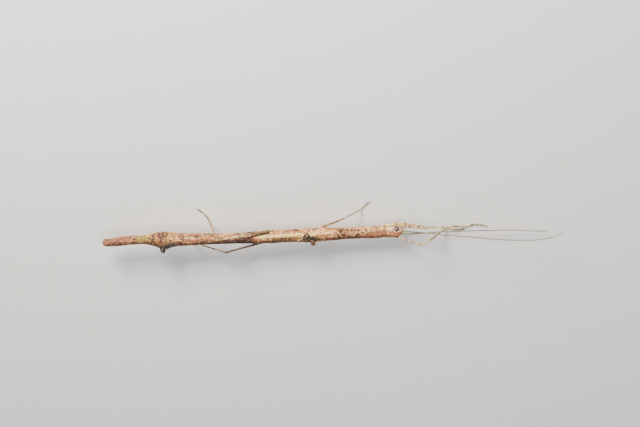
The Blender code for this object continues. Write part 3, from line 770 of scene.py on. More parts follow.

# %% [markdown]
# Arcs, dark marks and flecks go on last, because they are crisp on the real skin, and the painted
# shadows among the dark marks are crisp as well. The same rough noise frays the painted marks, and the
# bump map takes its pits from small round cells.

# %% Add the sharp marks and the flecks on top
arc_colour = body.mix(body.ramp(body.grain(0.5), 0.4, 0.6), ARC, UMBER)
ground = body.mix(body.part(body.ragged("arcs", body.part(ragged, 0.7)), 0.95), ground, arc_colour)
# near black for the dark marks, which include the painted shadows
ground = body.mix(body.part(body.ragged("dark", body.part(ragged, 0.8)), 0.95), ground, BARK_AND_SHADOW)
fleck_places = body.sum("ADD", body.ramp(body.grain(3.0, 2.0), 0.50, 0.62), body.mark("green"))
flecks = body.sum("MULTIPLY", body.ramp(body.grain(0.27, 4.0, (1.6, 1, 1)), 0.60, 0.66), fleck_places)
ground = body.mix(body.part(flecks, 0.85), ground, BARK_AND_SHADOW)
ground = body.mix(body.part(body.ramp(body.grain(0.21, 3.0), 0.64, 0.71), 0.4), ground, CREAM)
lit = body.sum("MULTIPLY", body.ramp(body.grain(0.34, 4.0), 0.55, 0.62), body.mark("knotty"))
ground = body.mix(body.part(lit, 0.75), ground, ASH)
pits = body.part(body.ramp(body.cells(0.30), 0.4, 0.1), 0.4)
height = body.sum("ADD", body.grain(0.22, 5.0, (2.5, 1, 1)), pits)
sheen = body.sum("MULTIPLY_ADD", body.grain(0.9), 0.3, 0.52)
body_finish = body.wear(ground, height, 0.12, sheen)

skin = mesh_piece("body_skin", [skin_rings], body_finish, marks)
dress(skin, "thorax_cuticle", *SEGMENTS, "head", "knob")
print("finish:", body_finish.name, "nodes:", len(body.tree.nodes))

# %% [markdown]
# ## Small things in great number
# Bark-like granules, hairs and rows of teeth repeat a small shape hundreds of times. Geometry Nodes do
# this best: a tree scatters points over a surface or steps along an edge, puts the shape on each point
# and gives it a chance size. Its inputs are named, so one tree serves every leg. The result is turned
# into a plain mesh at the end, and the seed is fixed, so it always comes out the same.

# %% Helpers that start and end a tree
def new_tree(name, inputs):
    """Empty tree with named inputs, its nodes' maker, its input node and its output socket."""
    tree = bpy.data.node_groups.new(name, "GeometryNodeTree")
    for label, kind in inputs.items():
        tree.interface.new_socket(label, in_out="INPUT", socket_type="NodeSocket" + kind)
    tree.interface.new_socket("Pieces", in_out="OUTPUT", socket_type="NodeSocketGeometry")

    def add(kind, **links):
        node = tree.nodes.new(kind)
        for key, value in links.items():
            socket = node.inputs[int(key[1:]) if key[1:].isdigit() else key.replace("_", " ")]
            if isinstance(value, bpy.types.NodeSocket):
                tree.links.new(value, socket)
            else:
                socket.default_value = value
        return node

    return tree, add, add("NodeGroupInput").outputs


def finish_tree(tree, add, given, points, shape, turned):
    """Put the shape on the points in chance sizes and end the tree."""
    sizes = add("FunctionNodeRandomValue", i2=0.0, i3=1.0, Seed=given["Seed"])
    span = add("ShaderNodeMapRange", Value=sizes.outputs[1], To_Min=given["Smallest"],
               To_Max=given["Largest"])
    placed = add("GeometryNodeInstanceOnPoints", Points=points, Instance=shape, Rotation=turned,
                 Scale=span.outputs[0])
    real = add("GeometryNodeRealizeInstances", Geometry=placed.outputs[0])
    painted = add("GeometryNodeSetMaterial", Geometry=real.outputs[0], Material=given["Finish"])
    add("NodeGroupOutput", Pieces=painted.outputs[0])
    return tree


def named_value(add, kind, label):
    """The number or the arrow that a mesh carries at its corners."""
    node = add("GeometryNodeInputNamedAttribute")
    node.data_type = kind
    node.inputs["Name"].default_value = label
    return node.outputs["Attribute"]


SIZES = {"Smallest": "Float", "Largest": "Float", "Seed": "Int", "Finish": "Material"}
print("inputs that all trees share:", list(SIZES))

# %% [markdown]
# One kind of tree scatters shapes and the other lines them up. The shapes have few faces, because they
# are repeated so often: a bead is the plainest ball there is, a hair is a cone with four sides and a
# tooth one with six.

# %% Build the trees
def scatter_tree(name, pointed):
    """Shapes scattered over a surface, as thickly as its mark `thickly` says, up to so many in 1 mm2."""
    tree, add, given = new_tree(name, {"Surface": "Geometry", "Most": "Float", **SIZES})
    thick = add("ShaderNodeMath", i0=named_value(add, "FLOAT", "thickly"), i1=given["Most"])
    dense = add("ShaderNodeMath", i0=thick.outputs[0], i1=1 / MM ** 2)
    thick.operation = dense.operation = "MULTIPLY"
    points = add("GeometryNodeDistributePointsOnFaces", Mesh=given["Surface"], Density=dense.outputs[0],
                 Seed=given["Seed"])
    if pointed:
        shape = add("GeometryNodeMeshCone", Vertices=4, Radius_Top=0.0, Radius_Bottom=0.09, Depth=1.0)
    else:
        shape = add("GeometryNodeMeshIcoSphere", Radius=1.0, Subdivisions=1)
    spots, turned = points.outputs["Points"], points.outputs["Rotation"]
    return finish_tree(tree, add, given, spots, shape.outputs[0], turned)


def row_tree(name):
    """Teeth in a row along an edge, leaning the way of its mark `outwards`."""
    tree, add, given = new_tree(name, {"Edge": "Geometry", "Step": "Float", **SIZES})
    curve = add("GeometryNodeMeshToCurve", Mesh=given["Edge"])
    stepped = add("GeometryNodeResampleCurve", Curve=curve.outputs[0])
    stepped.mode = "LENGTH"
    tree.links.new(given["Step"], stepped.inputs["Length"])
    shape = add("GeometryNodeMeshCone", Vertices=6, Radius_Top=0.08, Radius_Bottom=0.55, Depth=1.0)
    turned = add("FunctionNodeAlignRotationToVector", Vector=named_value(add, "FLOAT_VECTOR", "outwards"))
    turned.axis = "Z"
    return finish_tree(tree, add, given, stepped.outputs[0], shape.outputs[0], turned.outputs[0])


beads_on = scatter_tree("scattered_beads", False)
hairs_on = scatter_tree("scattered_hairs", True)
teeth_along = row_tree("row_of_teeth")
print("trees:", [tree.name for tree in (beads_on, hairs_on, teeth_along)])

# %% [markdown]
# A modifier runs the tree on a copy of the meshes. Its inputs are set by their identifiers, before the
# result is asked for. What has grown becomes a plain mesh, and the host is thrown away. Granules come
# first: beads that sit thickly where the skin's own mark says so.

# %% Grow the granules
def grow(name, tree, meshes, finish, **values):
    """Plain mesh object from a tree that runs on some meshes joined together."""
    shapes = [bpy.data.meshes.new_from_object(piece) for piece in meshes]
    host = bpy.data.objects.new(name + "_host", shapes[0])
    bpy.context.scene.collection.objects.link(host)
    if len(shapes) > 1:
        builder = bmesh.new()
        for shape in shapes:
            builder.from_mesh(shape)
        builder.to_mesh(host.data)
        builder.free()
    modifier = host.modifiers.new("grow", "NODES")
    modifier.node_group = tree
    sockets = {item.name: item.identifier for item in tree.interface.items_tree if item.in_out == "INPUT"}
    for label, value in {**values, "Finish": finish}.items():
        modifier[sockets[label]] = value
    host.update_tag()
    grown = bpy.data.meshes.new_from_object(host.evaluated_get(bpy.context.evaluated_depsgraph_get()))
    made = bpy.data.objects.new(name, grown)
    bpy.context.scene.collection.objects.link(made)
    bpy.data.objects.remove(host)
    return made


granules = grow("granules", beads_on, [skin], body_finish, Most=1.0, Smallest=0.04 * MM,
                Largest=0.13 * MM, Seed=4)
dress(granules, "thorax_cuticle")

# %% [markdown]
# ## Limbs as tubes
# Legs and feelers are tubes that change their width along a path. The rings of each limb's solid are
# read back one by one, which gives the path and its half sizes.

# %% Helpers that read a limb
def limb(name, first, gap=0.05, flat=UP):
    """Centre line and half sizes of a limb's solid, from the end nearer to the point `first`."""
    rings = rings_of(corners(name), gap, ALONG_BODY if gap > RING_GAP else None)
    if (middle_of(rings[-1]) - first).length < (middle_of(rings[0]) - first).length:
        rings.reverse()
    middles = np.array([middle_of(ring) for ring in rings])
    up, side = ring_axes(middles, flat)
    widths = [np.ptp((ring - middle) @ way) / 2 for ring, middle, way in zip(rings, middles, side)]
    depths = [np.ptp((ring - middle) @ way) / 2 for ring, middle, way in zip(rings, middles, up)]
    return middles, np.array(widths), np.array(depths)


def ring_axes(path, flat):
    """The up and the sideways direction of the ring at each point of a path."""
    ways = np.gradient(path, axis=0)
    ways /= np.linalg.norm(ways, axis=1)[:, None]
    up = np.array(flat)[None] - ways * (ways @ np.array(flat))[:, None]
    up /= np.linalg.norm(up, axis=1)[:, None]
    return up, np.cross(up, ways)


def travelled(path):
    """Distance along a path up to each of its points."""
    return np.concatenate([[0], np.cumsum(np.linalg.norm(np.diff(path, axis=0), axis=1))])


def fine_path(path, spacing, softness=0.0):
    """The path with evenly spaced points, and its corners rounded over a distance."""
    path = np.array([tuple(point) for point in path])
    length = travelled(path)
    stations = np.linspace(0, length[-1], max(4, int(length[-1] / spacing)))
    window = np.linspace(-softness, softness, 9)
    to_end = np.minimum(stations, length[-1] - stations)
    narrowing = np.clip(to_end / max(softness, 1e-6), 0, 1)      # keeps both ends in place
    taken = stations[:, None] + window * narrowing[:, None]
    return np.stack([np.interp(taken, length, path[:, axis]).mean(1) for axis in range(3)], 1)


print("ready: limb, ring_axes, travelled, fine_path")

# %% [markdown]
# The skin gets a finer ring every fraction of a millimetre, with ridges along it, because an insect's
# leg is a prism and not a pipe. Small joints are closed oval beads, which are short tubes too.

# %% Helpers that make tubes and beads
def tube_rings(path, widths, depths=None, flat=UP, sides=20, ridges=0, ridge=0.0):
    """Rings across a path, with half widths and half depths, and ridges that run along it."""
    path = np.asarray(path, dtype=float)
    up, side = ring_axes(path, flat)
    widths = np.broadcast_to(widths, len(path))
    depths = widths if depths is None else np.broadcast_to(depths, len(path))
    turn = np.arange(sides) * 2 * math.pi / sides
    form = 1 - ridge * np.abs(np.sin(ridges * (turn - math.pi / 2) / 2)) if ridges else np.ones(sides)
    out = (widths[:, None] * np.cos(turn) * form)[..., None] * side[:, None]
    lift = (depths[:, None] * np.sin(turn) * form)[..., None] * up[:, None]
    return path[:, None] + out + lift


def smooth_curve(points, spacing):
    """Points along a smooth curve that passes through all the given ones."""
    points = [Vector(p) for p in points]
    padded = [2 * points[0] - points[1], *points, 2 * points[-1] - points[-2]]
    curve = []
    for before, start, end, after in zip(padded, padded[1:], padded[2:], padded[3:]):
        steps = max(1, round((end - start).length / spacing))
        for t in np.arange(steps) / steps:
            drift = (end - before) * t
            bend = (2 * before - 5 * start + 4 * end - after) * t ** 2
            swing = (3 * start - before - 3 * end + after) * t ** 3
            curve.append(start + (drift + bend + swing) / 2)
    return np.array([tuple(p) for p in [*curve, points[-1]]])


def bead(middle, way, length, width, sides=16, flat=UP, steps=9):
    """Closed oval shell, `length` long in the direction of travel."""
    angles = np.linspace(-1.45, 1.45, steps)
    path = np.array([np.array(middle) + np.array(way) * math.sin(angle) * length / 2 for angle in angles])
    return tube_rings(path, width / 2 * np.cos(angles), flat=flat, sides=sides)


print("ready: tube_rings, smooth_curve, bead")

# %% [markdown]
# ## Thighs and hips
# Each leg starts with a stout hip joint in a swelling of the thorax, then a small ring piece and the
# thigh. Middle and hind thighs are slim five-sided bars that end in a knee with two cheeks. The thigh
# of a fore leg is a flat blade with a thin curved base: when the insect stretches its fore legs forward,
# the curve leaves room for the head.

# %% Find the joints of the legs
HIP_REACH = 0.72          # mm from the middle of a hip to the thigh's start
KNEE_REACH = 0.56         # and from a knee to the shin's start
ANKLE_REACH = 0.40
BLADE_LEAN = math.radians(38)
BLADE_GAP = 0.25          # mm between two rings of a fore thigh's solid, at the least
BAR_GAP = 0.05            # and of the other thighs'

joints = {}
for leg in PLAIN_LEGS:
    shin_start, shin_end = ends_of(f"tibia_{leg}", box_middle(f"femur_{leg}"))
    shin_way = (shin_end - shin_start).normalized()
    fore = leg.startswith("fore")
    lean = 1 if leg.endswith("left") else -1
    flat = Vector((0, lean * math.cos(BLADE_LEAN), -math.sin(BLADE_LEAN))) if fore else UP
    rings = limb(f"femur_{leg}", box_middle(f"coxa_{leg}"), BLADE_GAP if fore else BAR_GAP, flat)
    start = Vector(rings[0][0])
    way = (Vector(rings[0][1]) - start).normalized()
    joints[leg] = {
        "hip": start - way * HIP_REACH, "start": start, "way": way, "flat": flat, "rings": rings,
        "knee": shin_start - shin_way * KNEE_REACH, "ankle": shin_end + shin_way * ANKLE_REACH,
    }
print("knee heights in mm:", {leg: round(joint["knee"].z, 1) for leg, joint in joints.items()})

# %% [markdown]
# A hip is a short cone that comes out of the trunk. It starts well inside the skin, so no gap can open
# between them, and it wears the body's finish with a pale tint.

# %% Make the hips
HIP_WIDTH = 1.24
HIP_SIDES = 28
HIP_PALENESS = 0.42

for leg, joint in joints.items():
    hip, way = joint["hip"], joint["way"]
    trunk_at = hip.x - tail_x + 0.6 * (box_middle(f"coxa_{leg}").x - hip.x)
    trunk_y, trunk_z = [np.interp(trunk_at, all_places, centre) for centre in (centre_y, centre_z)]
    inner = Vector((trunk_at + tail_x, trunk_y, trunk_z))
    hip_path = fine_path([inner.lerp(hip, 0.25), hip, hip + way * 0.45], 0.10, 0.35)
    share = np.linspace(0, 1, len(hip_path))
    cone = HIP_WIDTH / 2 * (1.5 - 0.5 * share ** 0.7) * np.sqrt(1 - share ** 7 * 0.9)
    shells = [tube_rings(hip_path, cone, sides=HIP_SIDES)]
    paleness = np.full(len(corners_of(shells)), HIP_PALENESS)
    piece = mesh_piece(f"hip_{leg}", shells, body_finish, {"pale": paleness})
    dress(piece, "thorax_cuticle", f"coxa_{leg}")

# %% [markdown]
# A thigh's width and depth come from its solid's rings. The knee's cheeks are a small swelling just
# before the end, and the end itself closes in a quarter circle.

# %% Shape the thighs
BASE_HALF = 0.33          # mm, half the thickness of a fore thigh's thin base
BLADE_START = 2.5         # mm of thin base before the left fore thigh widens
KNEE_WIDTH = 0.90
KNEE_SHARE = 0.74         # a slim thigh's thickness at its knee, as a share of its start
CHEEK = 0.10
END_ROUNDING = 0.3
SOLID_KNEE = 3            # rings of a fore thigh's solid that belong to its knee

thigh_shells = {}
for leg, joint in joints.items():
    middles, widths, depths = joint["rings"]
    fore = leg.startswith("fore")
    if fore:
        inner_points = [Vector(middle) for middle in middles[:-SOLID_KNEE]]
        sizes = [(BASE_HALF, BASE_HALF), *zip(widths[:-SOLID_KNEE], depths[:-SOLID_KNEE]),
                 (KNEE_WIDTH / 2, KNEE_WIDTH / 2)]
    else:
        inner_points = [joint["start"]]
        thick = np.array((max(widths[:4]), max(depths[:4])))
        sizes = [(0.30, 0.32), thick, KNEE_SHARE * thick]
    route = [joint["hip"] + joint["way"] * 0.5, *inner_points, joint["knee"]]
    route = np.array([tuple(point) for point in route])
    path = fine_path(route, 0.14, 0.25 if fore else 0.0)
    gone = travelled(path)
    at_route = travelled(route)
    half_w, half_d = [np.interp(gone / gone[-1], at_route / at_route[-1], size)
                      for size in np.array(sizes).T]
    to_go = gone[-1] - gone
    cheek = CHEEK * bell(to_go, 0.35, 0.45)
    close = np.sqrt(np.clip(1 - np.clip(1 - (to_go + 0.02) / END_ROUNDING, 0, 1) ** 2, 0.02, 1))
    half_w = (half_w + cheek * (0.4 if fore else 1)) * close
    half_d = (half_d + 0.5 * cheek) * close
    if leg == "fore_left":
        widest = 0.16 * bell(gone, BLADE_START + 1.6, 1.8)
        half_d = np.where(gone < BLADE_START, BASE_HALF, half_d + widest)
        half_d += 0.07 * wavy(path, 0.7, 3.0) * (gone > BLADE_START) * close
    collar = bead(joint["hip"] + joint["way"] * 0.60, joint["way"], 0.8, 0.72)
    ridges, ridge = (2, 0.16) if fore else (5, 0.14)
    thigh_shells[leg] = [collar, tube_rings(path, half_w, half_d, joint["flat"], 24, ridges, ridge)]
    joint["path"], joint["half_depth"] = path, half_d
    print(leg, "thigh length in mm:", round(gone[-1], 1), "rings:", len(path))

# %% [markdown]
# ## The legs' finishes
# Legs are banded like dry grass stems. The bands are noise stretched across the leg, so they have no
# regular beat, and each leg takes its own ground colour: the left fore thigh is cream and tan, the right
# one a smooth greyish pink, the hind legs browner. The right hind thigh is painted dark grey-brown as
# shade, because it lies on the far side under the body.

# %% Mix the legs' finishes
# painted shade: an olive brown that darkens a thigh's tinted stretch near the hip
PAINTED_SHADE_OLIVE = shade(84, 60, 34)


def leg_finish(name, light, deep, fleck, amount=0.6, band_size=1.5, stretch=(0.8, 1.6, 1.6),
               tint=PAINTED_SHADE_OLIVE):
    """Bands and blotches of a deeper colour on a light ground, with small flecks and a tinted stretch."""
    made = Finish(name, 0.6)
    bands = made.ramp(made.grain(band_size, 5.0, stretch), 0.46, 0.58)
    colour = made.mix(bands, light, deep)
    colour = made.mix(made.part(made.ramp(made.grain(0.32, 4.0), 0.54, 0.66), amount), colour, fleck)
    blotches = made.ramp(made.grain(0.45, 4.0, (2, 1, 1)), 0.58, 0.68)
    colour = made.mix(made.part(blotches, 0.6), colour, deep)
    colour = made.mix(made.part(made.mark("tinted"), 0.85), colour, tint)
    sheen = made.sum("MULTIPLY_ADD", made.grain(0.7), 0.25, 0.5)
    return made.wear(colour, made.grain(0.2, 4.0), 0.08, sheen)


STRAW = shade(204, 184, 128)
GREY_PINK = shade(206, 170, 146)
thigh_finishes = {
    "fore_left": leg_finish("lichen_thigh", shade(208, 172, 118), shade(124, 82, 54), shade(62, 42, 28),
                            0.8, 0.55, (1.4, 1, 1), shade(240, 216, 140)),
    "fore_right": leg_finish("smooth_thigh", GREY_PINK, shade(150, 112, 88), shade(118, 86, 66), 0.5, 0.8),
    "mid_left": leg_finish("banded_thigh", shade(164, 140, 84), shade(120, 84, 50), UMBER, 0.6),
    "hind_left": leg_finish("brown_thigh", shade(214, 182, 122), shade(150, 108, 66), UMBER, 0.5),
    # painted shade: the right hind thigh is darkened as if in the body's shadow
    "hind_right": leg_finish("grey_thigh_painted_shade", shade(104, 80, 62), shade(70, 52, 42), BARK_AND_SHADOW, 0.6),
}
shin_finish = leg_finish("banded_shin", STRAW, shade(124, 98, 56), UMBER, 0.4, 1.4)
hind_shin_finish = leg_finish("brown_shin", shade(170, 132, 84), shade(104, 68, 42), UMBER, 0.5, 1.6)
foot_finish = leg_finish("banded_foot", shade(200, 176, 120), shade(112, 82, 50), UMBER, 0.4, 1.2)
print("leg finishes:", len(thigh_finishes) + 3)

# %% [markdown]
# Two thighs change colour along their length: the left hind one is painted browner near the hip, as
# shade near the body, and the thin base of the left fore one is cream. That stretch is a mark of its
# own.

# %% Make the thighs
# the left hind thigh's stretch is painted shade; the left fore one's is its own cream
TINTED = {"hind_left": (46, 60, 0.8), "fore_left": (80, 95.2, 0.15)}     # mm from the tail, soft edge in mm

for leg, shells in thigh_shells.items():
    from_tail = corners_of(shells)[:, 0] - tail_x
    tinted = band(from_tail, *TINTED[leg]) if leg in TINTED else np.zeros_like(from_tail)
    piece = mesh_piece(f"thigh_{leg}", shells, thigh_finishes[leg], {"tinted": tinted})
    dress(piece, "femur_cuticle", f"femur_{leg}")

# %% [markdown]
# A fore thigh has a row of small teeth along each edge of its blade. The edges are drawn as lines that
# carry an arrow at each point, and the tree for rows puts the teeth on them.

# %% Set the teeth along the fore thighs
TEETH_SHARE = (0.24, 0.97)      # part of a thigh that has teeth
TOOTH_STEP = 0.85               # mm from one tooth to the next
TOOTH_DEPTH = 0.04              # mm that a tooth is sunk into the edge

for leg in ("fore_left", "fore_right"):
    path = joints[leg]["path"]
    up, _ = ring_axes(path, joints[leg]["flat"])
    for way_name, lean in (("upper", 1), ("lower", -1)):
        kept = [i for i in range(len(path)) if TEETH_SHARE[0] < i / len(path) < TEETH_SHARE[1]]
        rim = [(path[i] + up[i] * lean * (joints[leg]["half_depth"][i] - TOOTH_DEPTH)) * MM for i in kept]
        line = bpy.data.meshes.new("edge")
        line.from_pydata(rim, [(i, i + 1) for i in range(len(rim) - 1)], [])
        arrows = line.attributes.new("outwards", "FLOAT_VECTOR", "POINT")
        arrows.data.foreach_set("vector", (up[kept] * lean + [0.35, 0, 0]).astype(np.float32).ravel())
        edge = bpy.data.objects.new("edge", line)
        teeth = grow(f"teeth_{leg}_{way_name}", teeth_along, [edge], thigh_finishes[leg],
                     Step=TOOTH_STEP * MM, Smallest=0.08 * MM, Largest=0.22 * MM, Seed=len(path) + lean)
        dress(teeth, "femur_cuticle")

# %% [markdown]
# ## Shins and feet
# A shin is a straight thin rod with ridges and a slightly wider end. A foot has five small joints, the
# first one long and each a little wider at its end, with a soft pad below, and lies flat on the ground.
# The last joint carries a round pad between two claws.

# %% A helper that makes a shin
SHIN_HALF = {"fore": 0.31, "mid": 0.27, "hind": 0.27}     # half the thickness, in mm
FLOOR_CLEAR = {"shin": 0.45, "foot": 0.3}     # mm over the floor from which hairs may grow


def make_shin(leg):
    """Ridged rod from the knee to the ankle, with a round knee."""
    knee, ankle = joints[leg]["knee"], joints[leg]["ankle"]
    rod = fine_path([knee, ankle], 0.15)
    share = np.linspace(0, 1, len(rod))
    half = SHIN_HALF[leg.split("_")[0]] + 0.07 * np.exp(-share / 0.05) + 0.07 * np.exp(-(1 - share) / 0.03)
    half[0] *= 0.5
    half[-1] *= 0.6
    shells = [tube_rings(rod, half, sides=16, ridges=4, ridge=0.16),
              bead(knee, (ankle - knee).normalized(), 0.8, 0.62)]
    piece = mesh_piece(f"shin_{leg}", shells, hind_shin_finish if leg.startswith("hind") else shin_finish,
                       {"thickly": corners_of(shells)[:, 2] > FLOOR_CLEAR["shin"]})
    dress(piece, "tibia_cuticle", f"tibia_{leg}")
    return piece


print("shins are", 2 * SHIN_HALF["fore"], "mm thick in front and", 2 * SHIN_HALF["hind"], "mm behind")

# %% [markdown]
# Every shell of a foot is pressed flat where it would dip below the floor, as a soft pad is in life.

# %% A helper that makes a foot
TOE_JOINTS = (0.0, 0.4, 0.58, 0.71, 0.82, 1.0)     # ends of the five joints, as shares of the foot
FOOT_HEIGHT = 0.5
JOINT_GAP = 0.03
PAD_PLACE = 0.78          # share of a joint's length
PAD_HEIGHT = 0.11         # of a pad's middle, in mm


def on_floor(rings, drop=0.0):
    """The rings a little lower, but pressed flat on the floor."""
    rings[..., 2] = np.maximum(rings[..., 2] - drop, 0.0)
    return rings


def make_foot(leg):
    """Five joints with pads along the floor, and the toe's end and direction."""
    ankle = joints[leg]["ankle"]
    middles, _, _ = limb(f"tarsus_{leg}", ankle, 0.1)
    middles[:, 2] = FOOT_HEIGHT / 2
    heel = Vector((ankle.x, ankle.y, FOOT_HEIGHT / 2))
    sole = fine_path([heel, *middles[2:]], 0.05, 0.4)
    length = travelled(sole)
    shells = [bead(ankle, UP, 0.62, 0.6)]
    for first, last in zip(TOE_JOINTS, TOE_JOINTS[1:]):
        part = sole[(length >= first * length[-1]) & (length <= last * length[-1] - JOINT_GAP)]
        share = np.linspace(0, 1, len(part))
        swell = (0.17 + 0.09 * share) * np.sqrt(np.clip(1 - np.abs(2 * share - 1) ** 9, 0.1, 1))
        shells.append(on_floor(tube_rings(part, swell * 1.05, swell, sides=16), 0.02))
        pad_x, pad_y = part[int(len(part) * PAD_PLACE)][:2]
        onward = Vector(part[-1] - part[0]).normalized()
        shells.append(on_floor(bead((pad_x, pad_y, PAD_HEIGHT), onward, 0.34, 0.3)))
    toe = Vector(sole[-1])
    toe_way = Vector(sole[-1] - sole[-6]).normalized()
    shells.append(on_floor(bead(toe + toe_way * 0.05 - UP * 0.1, toe_way, 0.30, 0.32)))
    hairy_part = 0.8 * (corners_of(shells)[:, 2] > FLOOR_CLEAR["foot"])
    piece = mesh_piece(f"foot_{leg}", shells, foot_finish, {"thickly": hairy_part})
    dress(piece, "foot_cuticle", f"tarsus_{leg}")
    return piece, toe, toe_way


print("joints in a foot:", len(TOE_JOINTS) - 1)

# %% [markdown]
# A claw is a thin tube along an arc. It starts beside the toe, runs forward and outward, bends down and
# thins to a point.

# %% Make the shins, feet and claws
CLAW_BEND = 1.5           # how far round a claw curls, in radians
CLAW_HALF = 0.075         # mm

hairy = []
claw_shells = []
for leg in PLAIN_LEGS:
    hairy.append(make_shin(leg))
    foot, toe, toe_way = make_foot(leg)
    hairy.append(foot)
    left_way = UP.cross(toe_way).normalized()
    bends = np.linspace(0, CLAW_BEND, 12)
    for side in (1, -1):
        hook = [toe + toe_way * 0.30 * math.sin(bend)
                + left_way * side * (0.08 + 0.16 * math.sin(bend * 0.9))
                + UP * (0.05 - 0.24 * (1 - math.cos(bend))) for bend in bends]
        thinning = CLAW_HALF * (1 - 0.75 * bends / CLAW_BEND)
        claw_shells.append(tube_rings(np.array(hook), thinning, flat=toe_way, sides=10))
claw = Finish("claw_horn", 0.3)
horn = claw.mix(claw.ramp(claw.grain(0.25), 0.35, 0.65), shade(92, 60, 40), shade(52, 32, 24))
claw_finish = claw.wear(horn, claw.grain(0.06), 0.01)
dress(mesh_piece("claws", claw_shells, claw_finish), "foot_cuticle")
print("feet:", len(PLAIN_LEGS), "claws:", len(claw_shells))

# %% [markdown]
# Fine hairs stand on shins and feet and nowhere near the floor. The tree that scattered the granules
# grows them too, with a thin cone in the place of a bead.

# %% Grow fine hairs on shins and feet
hair = Finish("leg_hair", 0.4)
hair_finish = hair.wear(hair.mix(hair.grain(0.4), shade(120, 92, 60), shade(190, 166, 120)))
hairs = grow("leg_hairs", hairs_on, hairy, hair_finish, Most=5.0, Smallest=0.12 * MM,
             Largest=0.30 * MM, Seed=9)
dress(hairs, "tibia_cuticle")

# %% [markdown]
# ## The regrown leg
# The right middle leg was lost and has grown again: short, dark and curled over the back. Its solids
# curl too much to be read ring by ring, so copies of their meshes are smoothed instead. A solid arrives
# as loose triangles, so the copy's doubled corners are merged first. Then subdivision rounds it, and
# each corner moves along its normal by noise, which gives it a withered skin.

# %% Helpers for the regrown leg
SAME_PLACE = 0.002        # mm, corners nearer than this are one
SMOOTHING = 2             # rounds of subdivision
WRINKLE = 0.05            # mm


def withered(name, node, finish):
    """Smooth, wrinkled copy of a solid."""
    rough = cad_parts[node].data.copy()
    builder = bmesh.new()
    builder.from_mesh(rough)
    bmesh.ops.remove_doubles(builder, verts=builder.verts, dist=SAME_PLACE * MM)
    builder.to_mesh(rough)
    builder.free()
    shown = bpy.data.objects.new(node + "_copy", rough)
    bpy.context.scene.collection.objects.link(shown)
    soften = shown.modifiers.new("soften", "SUBSURF")
    soften.levels = soften.render_levels = SMOOTHING
    finished = shown.evaluated_get(bpy.context.evaluated_depsgraph_get())
    smooth = bpy.data.meshes.new_from_object(finished)
    points = []
    for vertex, normal in zip(smooth.vertices, smooth.vertex_normals):
        place = vertex.co / MM
        lift = WRINKLE * (noise.noise(place / 0.45) + 0.5 * noise.noise(place / 0.16))
        points.append((place + normal.vector * lift) * MM)
    bpy.data.objects.remove(shown)
    mesh = bpy.data.meshes.new(name)
    mesh.from_pydata(points, [], [list(face.vertices) for face in smooth.polygons])
    mesh.shade_smooth()
    mesh.materials.append(finish)
    made = bpy.data.objects.new(name, mesh)
    bpy.context.scene.collection.objects.link(made)
    return made


def on_skin(station, degrees, lift):
    """Place over the skin, `lift` millimetres out from it."""
    ring = np.abs(all_places - station).argmin()
    side = np.abs(turns - degrees).argmin()
    return Vector(skin_rings[ring, side] + outward[ring, side] * lift)


def join(name, first, second):
    """One object from two."""
    builder = bmesh.new()
    builder.from_mesh(first.data)
    builder.from_mesh(second.data)
    builder.to_mesh(first.data)
    builder.free()
    bpy.data.objects.remove(second)
    first.name = first.data.name = name
    return first


print("helpers ready: withered, on_skin, join")

# %% [markdown]
# Past its shin the leg is crumpled into lumps, with one thin loop that stands off. Both are tubes along
# a line over the skin. Noise moves every corner, so no ring stays round.

# %% Make the regrown leg
# where it lies on the back: mm from the tail, turn round the body, mm over the skin, half thickness in mm
CRUMPLED = (
    (69.3, 96, 0.30, 0.30), (69.2, 84, 0.45, 0.46), (68.5, 76, 0.50, 0.56),
    (67.7, 74, 0.45, 0.40), (67.0, 77, 0.40, 0.50), (66.3, 80, 0.30, 0.30),
)
STRAY = ((66.9, 70, 0.5, 0.20), (67.3, 60, 0.9, 0.18), (67.9, 66, 0.6, 0.20), (68.2, 78, 0.4, 0.24))

regrown = Finish("withered_cuticle", 0.6)
browned = regrown.ramp(regrown.grain(0.30, 4.0), 0.45, 0.62)
black = regrown.mix(browned, shade(22, 13, 14), shade(58, 37, 32))
# pale specks on the black
pale_specks = regrown.part(regrown.ramp(regrown.grain(0.24, 3.0), 0.60, 0.68), 0.7)
specked_black = regrown.mix(pale_specks, black, shade(190, 172, 160))
regrown_finish = regrown.wear(specked_black, regrown.grain(0.15, 4.0), 0.08)
stump_finish = leg_finish("stump_cuticle", shade(140, 108, 76), shade(78, 52, 34), BARK_AND_SHADOW, 0.7, 0.7)
for name, node, slot, finish in (
        ("regrown_hip", "coxa_mid_right", "thorax_cuticle", body_finish),
        ("regrown_thigh", "femur_mid_right", "regrown_cuticle", stump_finish)):
    dress(withered(name, node, finish), slot, node)

shells = []
for route in (CRUMPLED, STRAY):
    line = smooth_curve([on_skin(*place[:3]) for place in route], 0.08)
    share = np.linspace(0, 1, len(line))
    half = np.interp(share, np.linspace(0, 1, len(route)), [place[3] for place in route])
    close = np.sin(np.linspace(0.12, math.pi - 0.12, len(line))) ** 0.25
    rings = tube_rings(line, half * (1 + 0.35 * wavy(line, 0.4, 2.0)) * close, sides=18)
    lumpy = (1 + 0.55 * wavy(rings, 0.32, 6.0))[..., None]
    shells.append(line[:, None] + (rings - line[:, None]) * lumpy)
shin_copy = withered("shin_copy", "tibia_mid_right", regrown_finish)
crumpled = mesh_piece("crumpled", shells, regrown_finish)
dress(join("regrown_shin", shin_copy, crumpled), "regrown_cuticle", "tibia_mid_right")

# %% [markdown]
# A regrown foot is a thin thread of joints that run into each other. It starts inside the end of its
# shin, so that it can't lie apart from the leg.

# %% Make the small foot
SMALL_JOINTS = 5
JOINT_OVERLAP = 1.3       # a joint's length as a share of its step
JOINT_SHIFT = 0.4         # share of a step from a joint's start to its middle
SMALL_WIDTH = 0.32        # mm

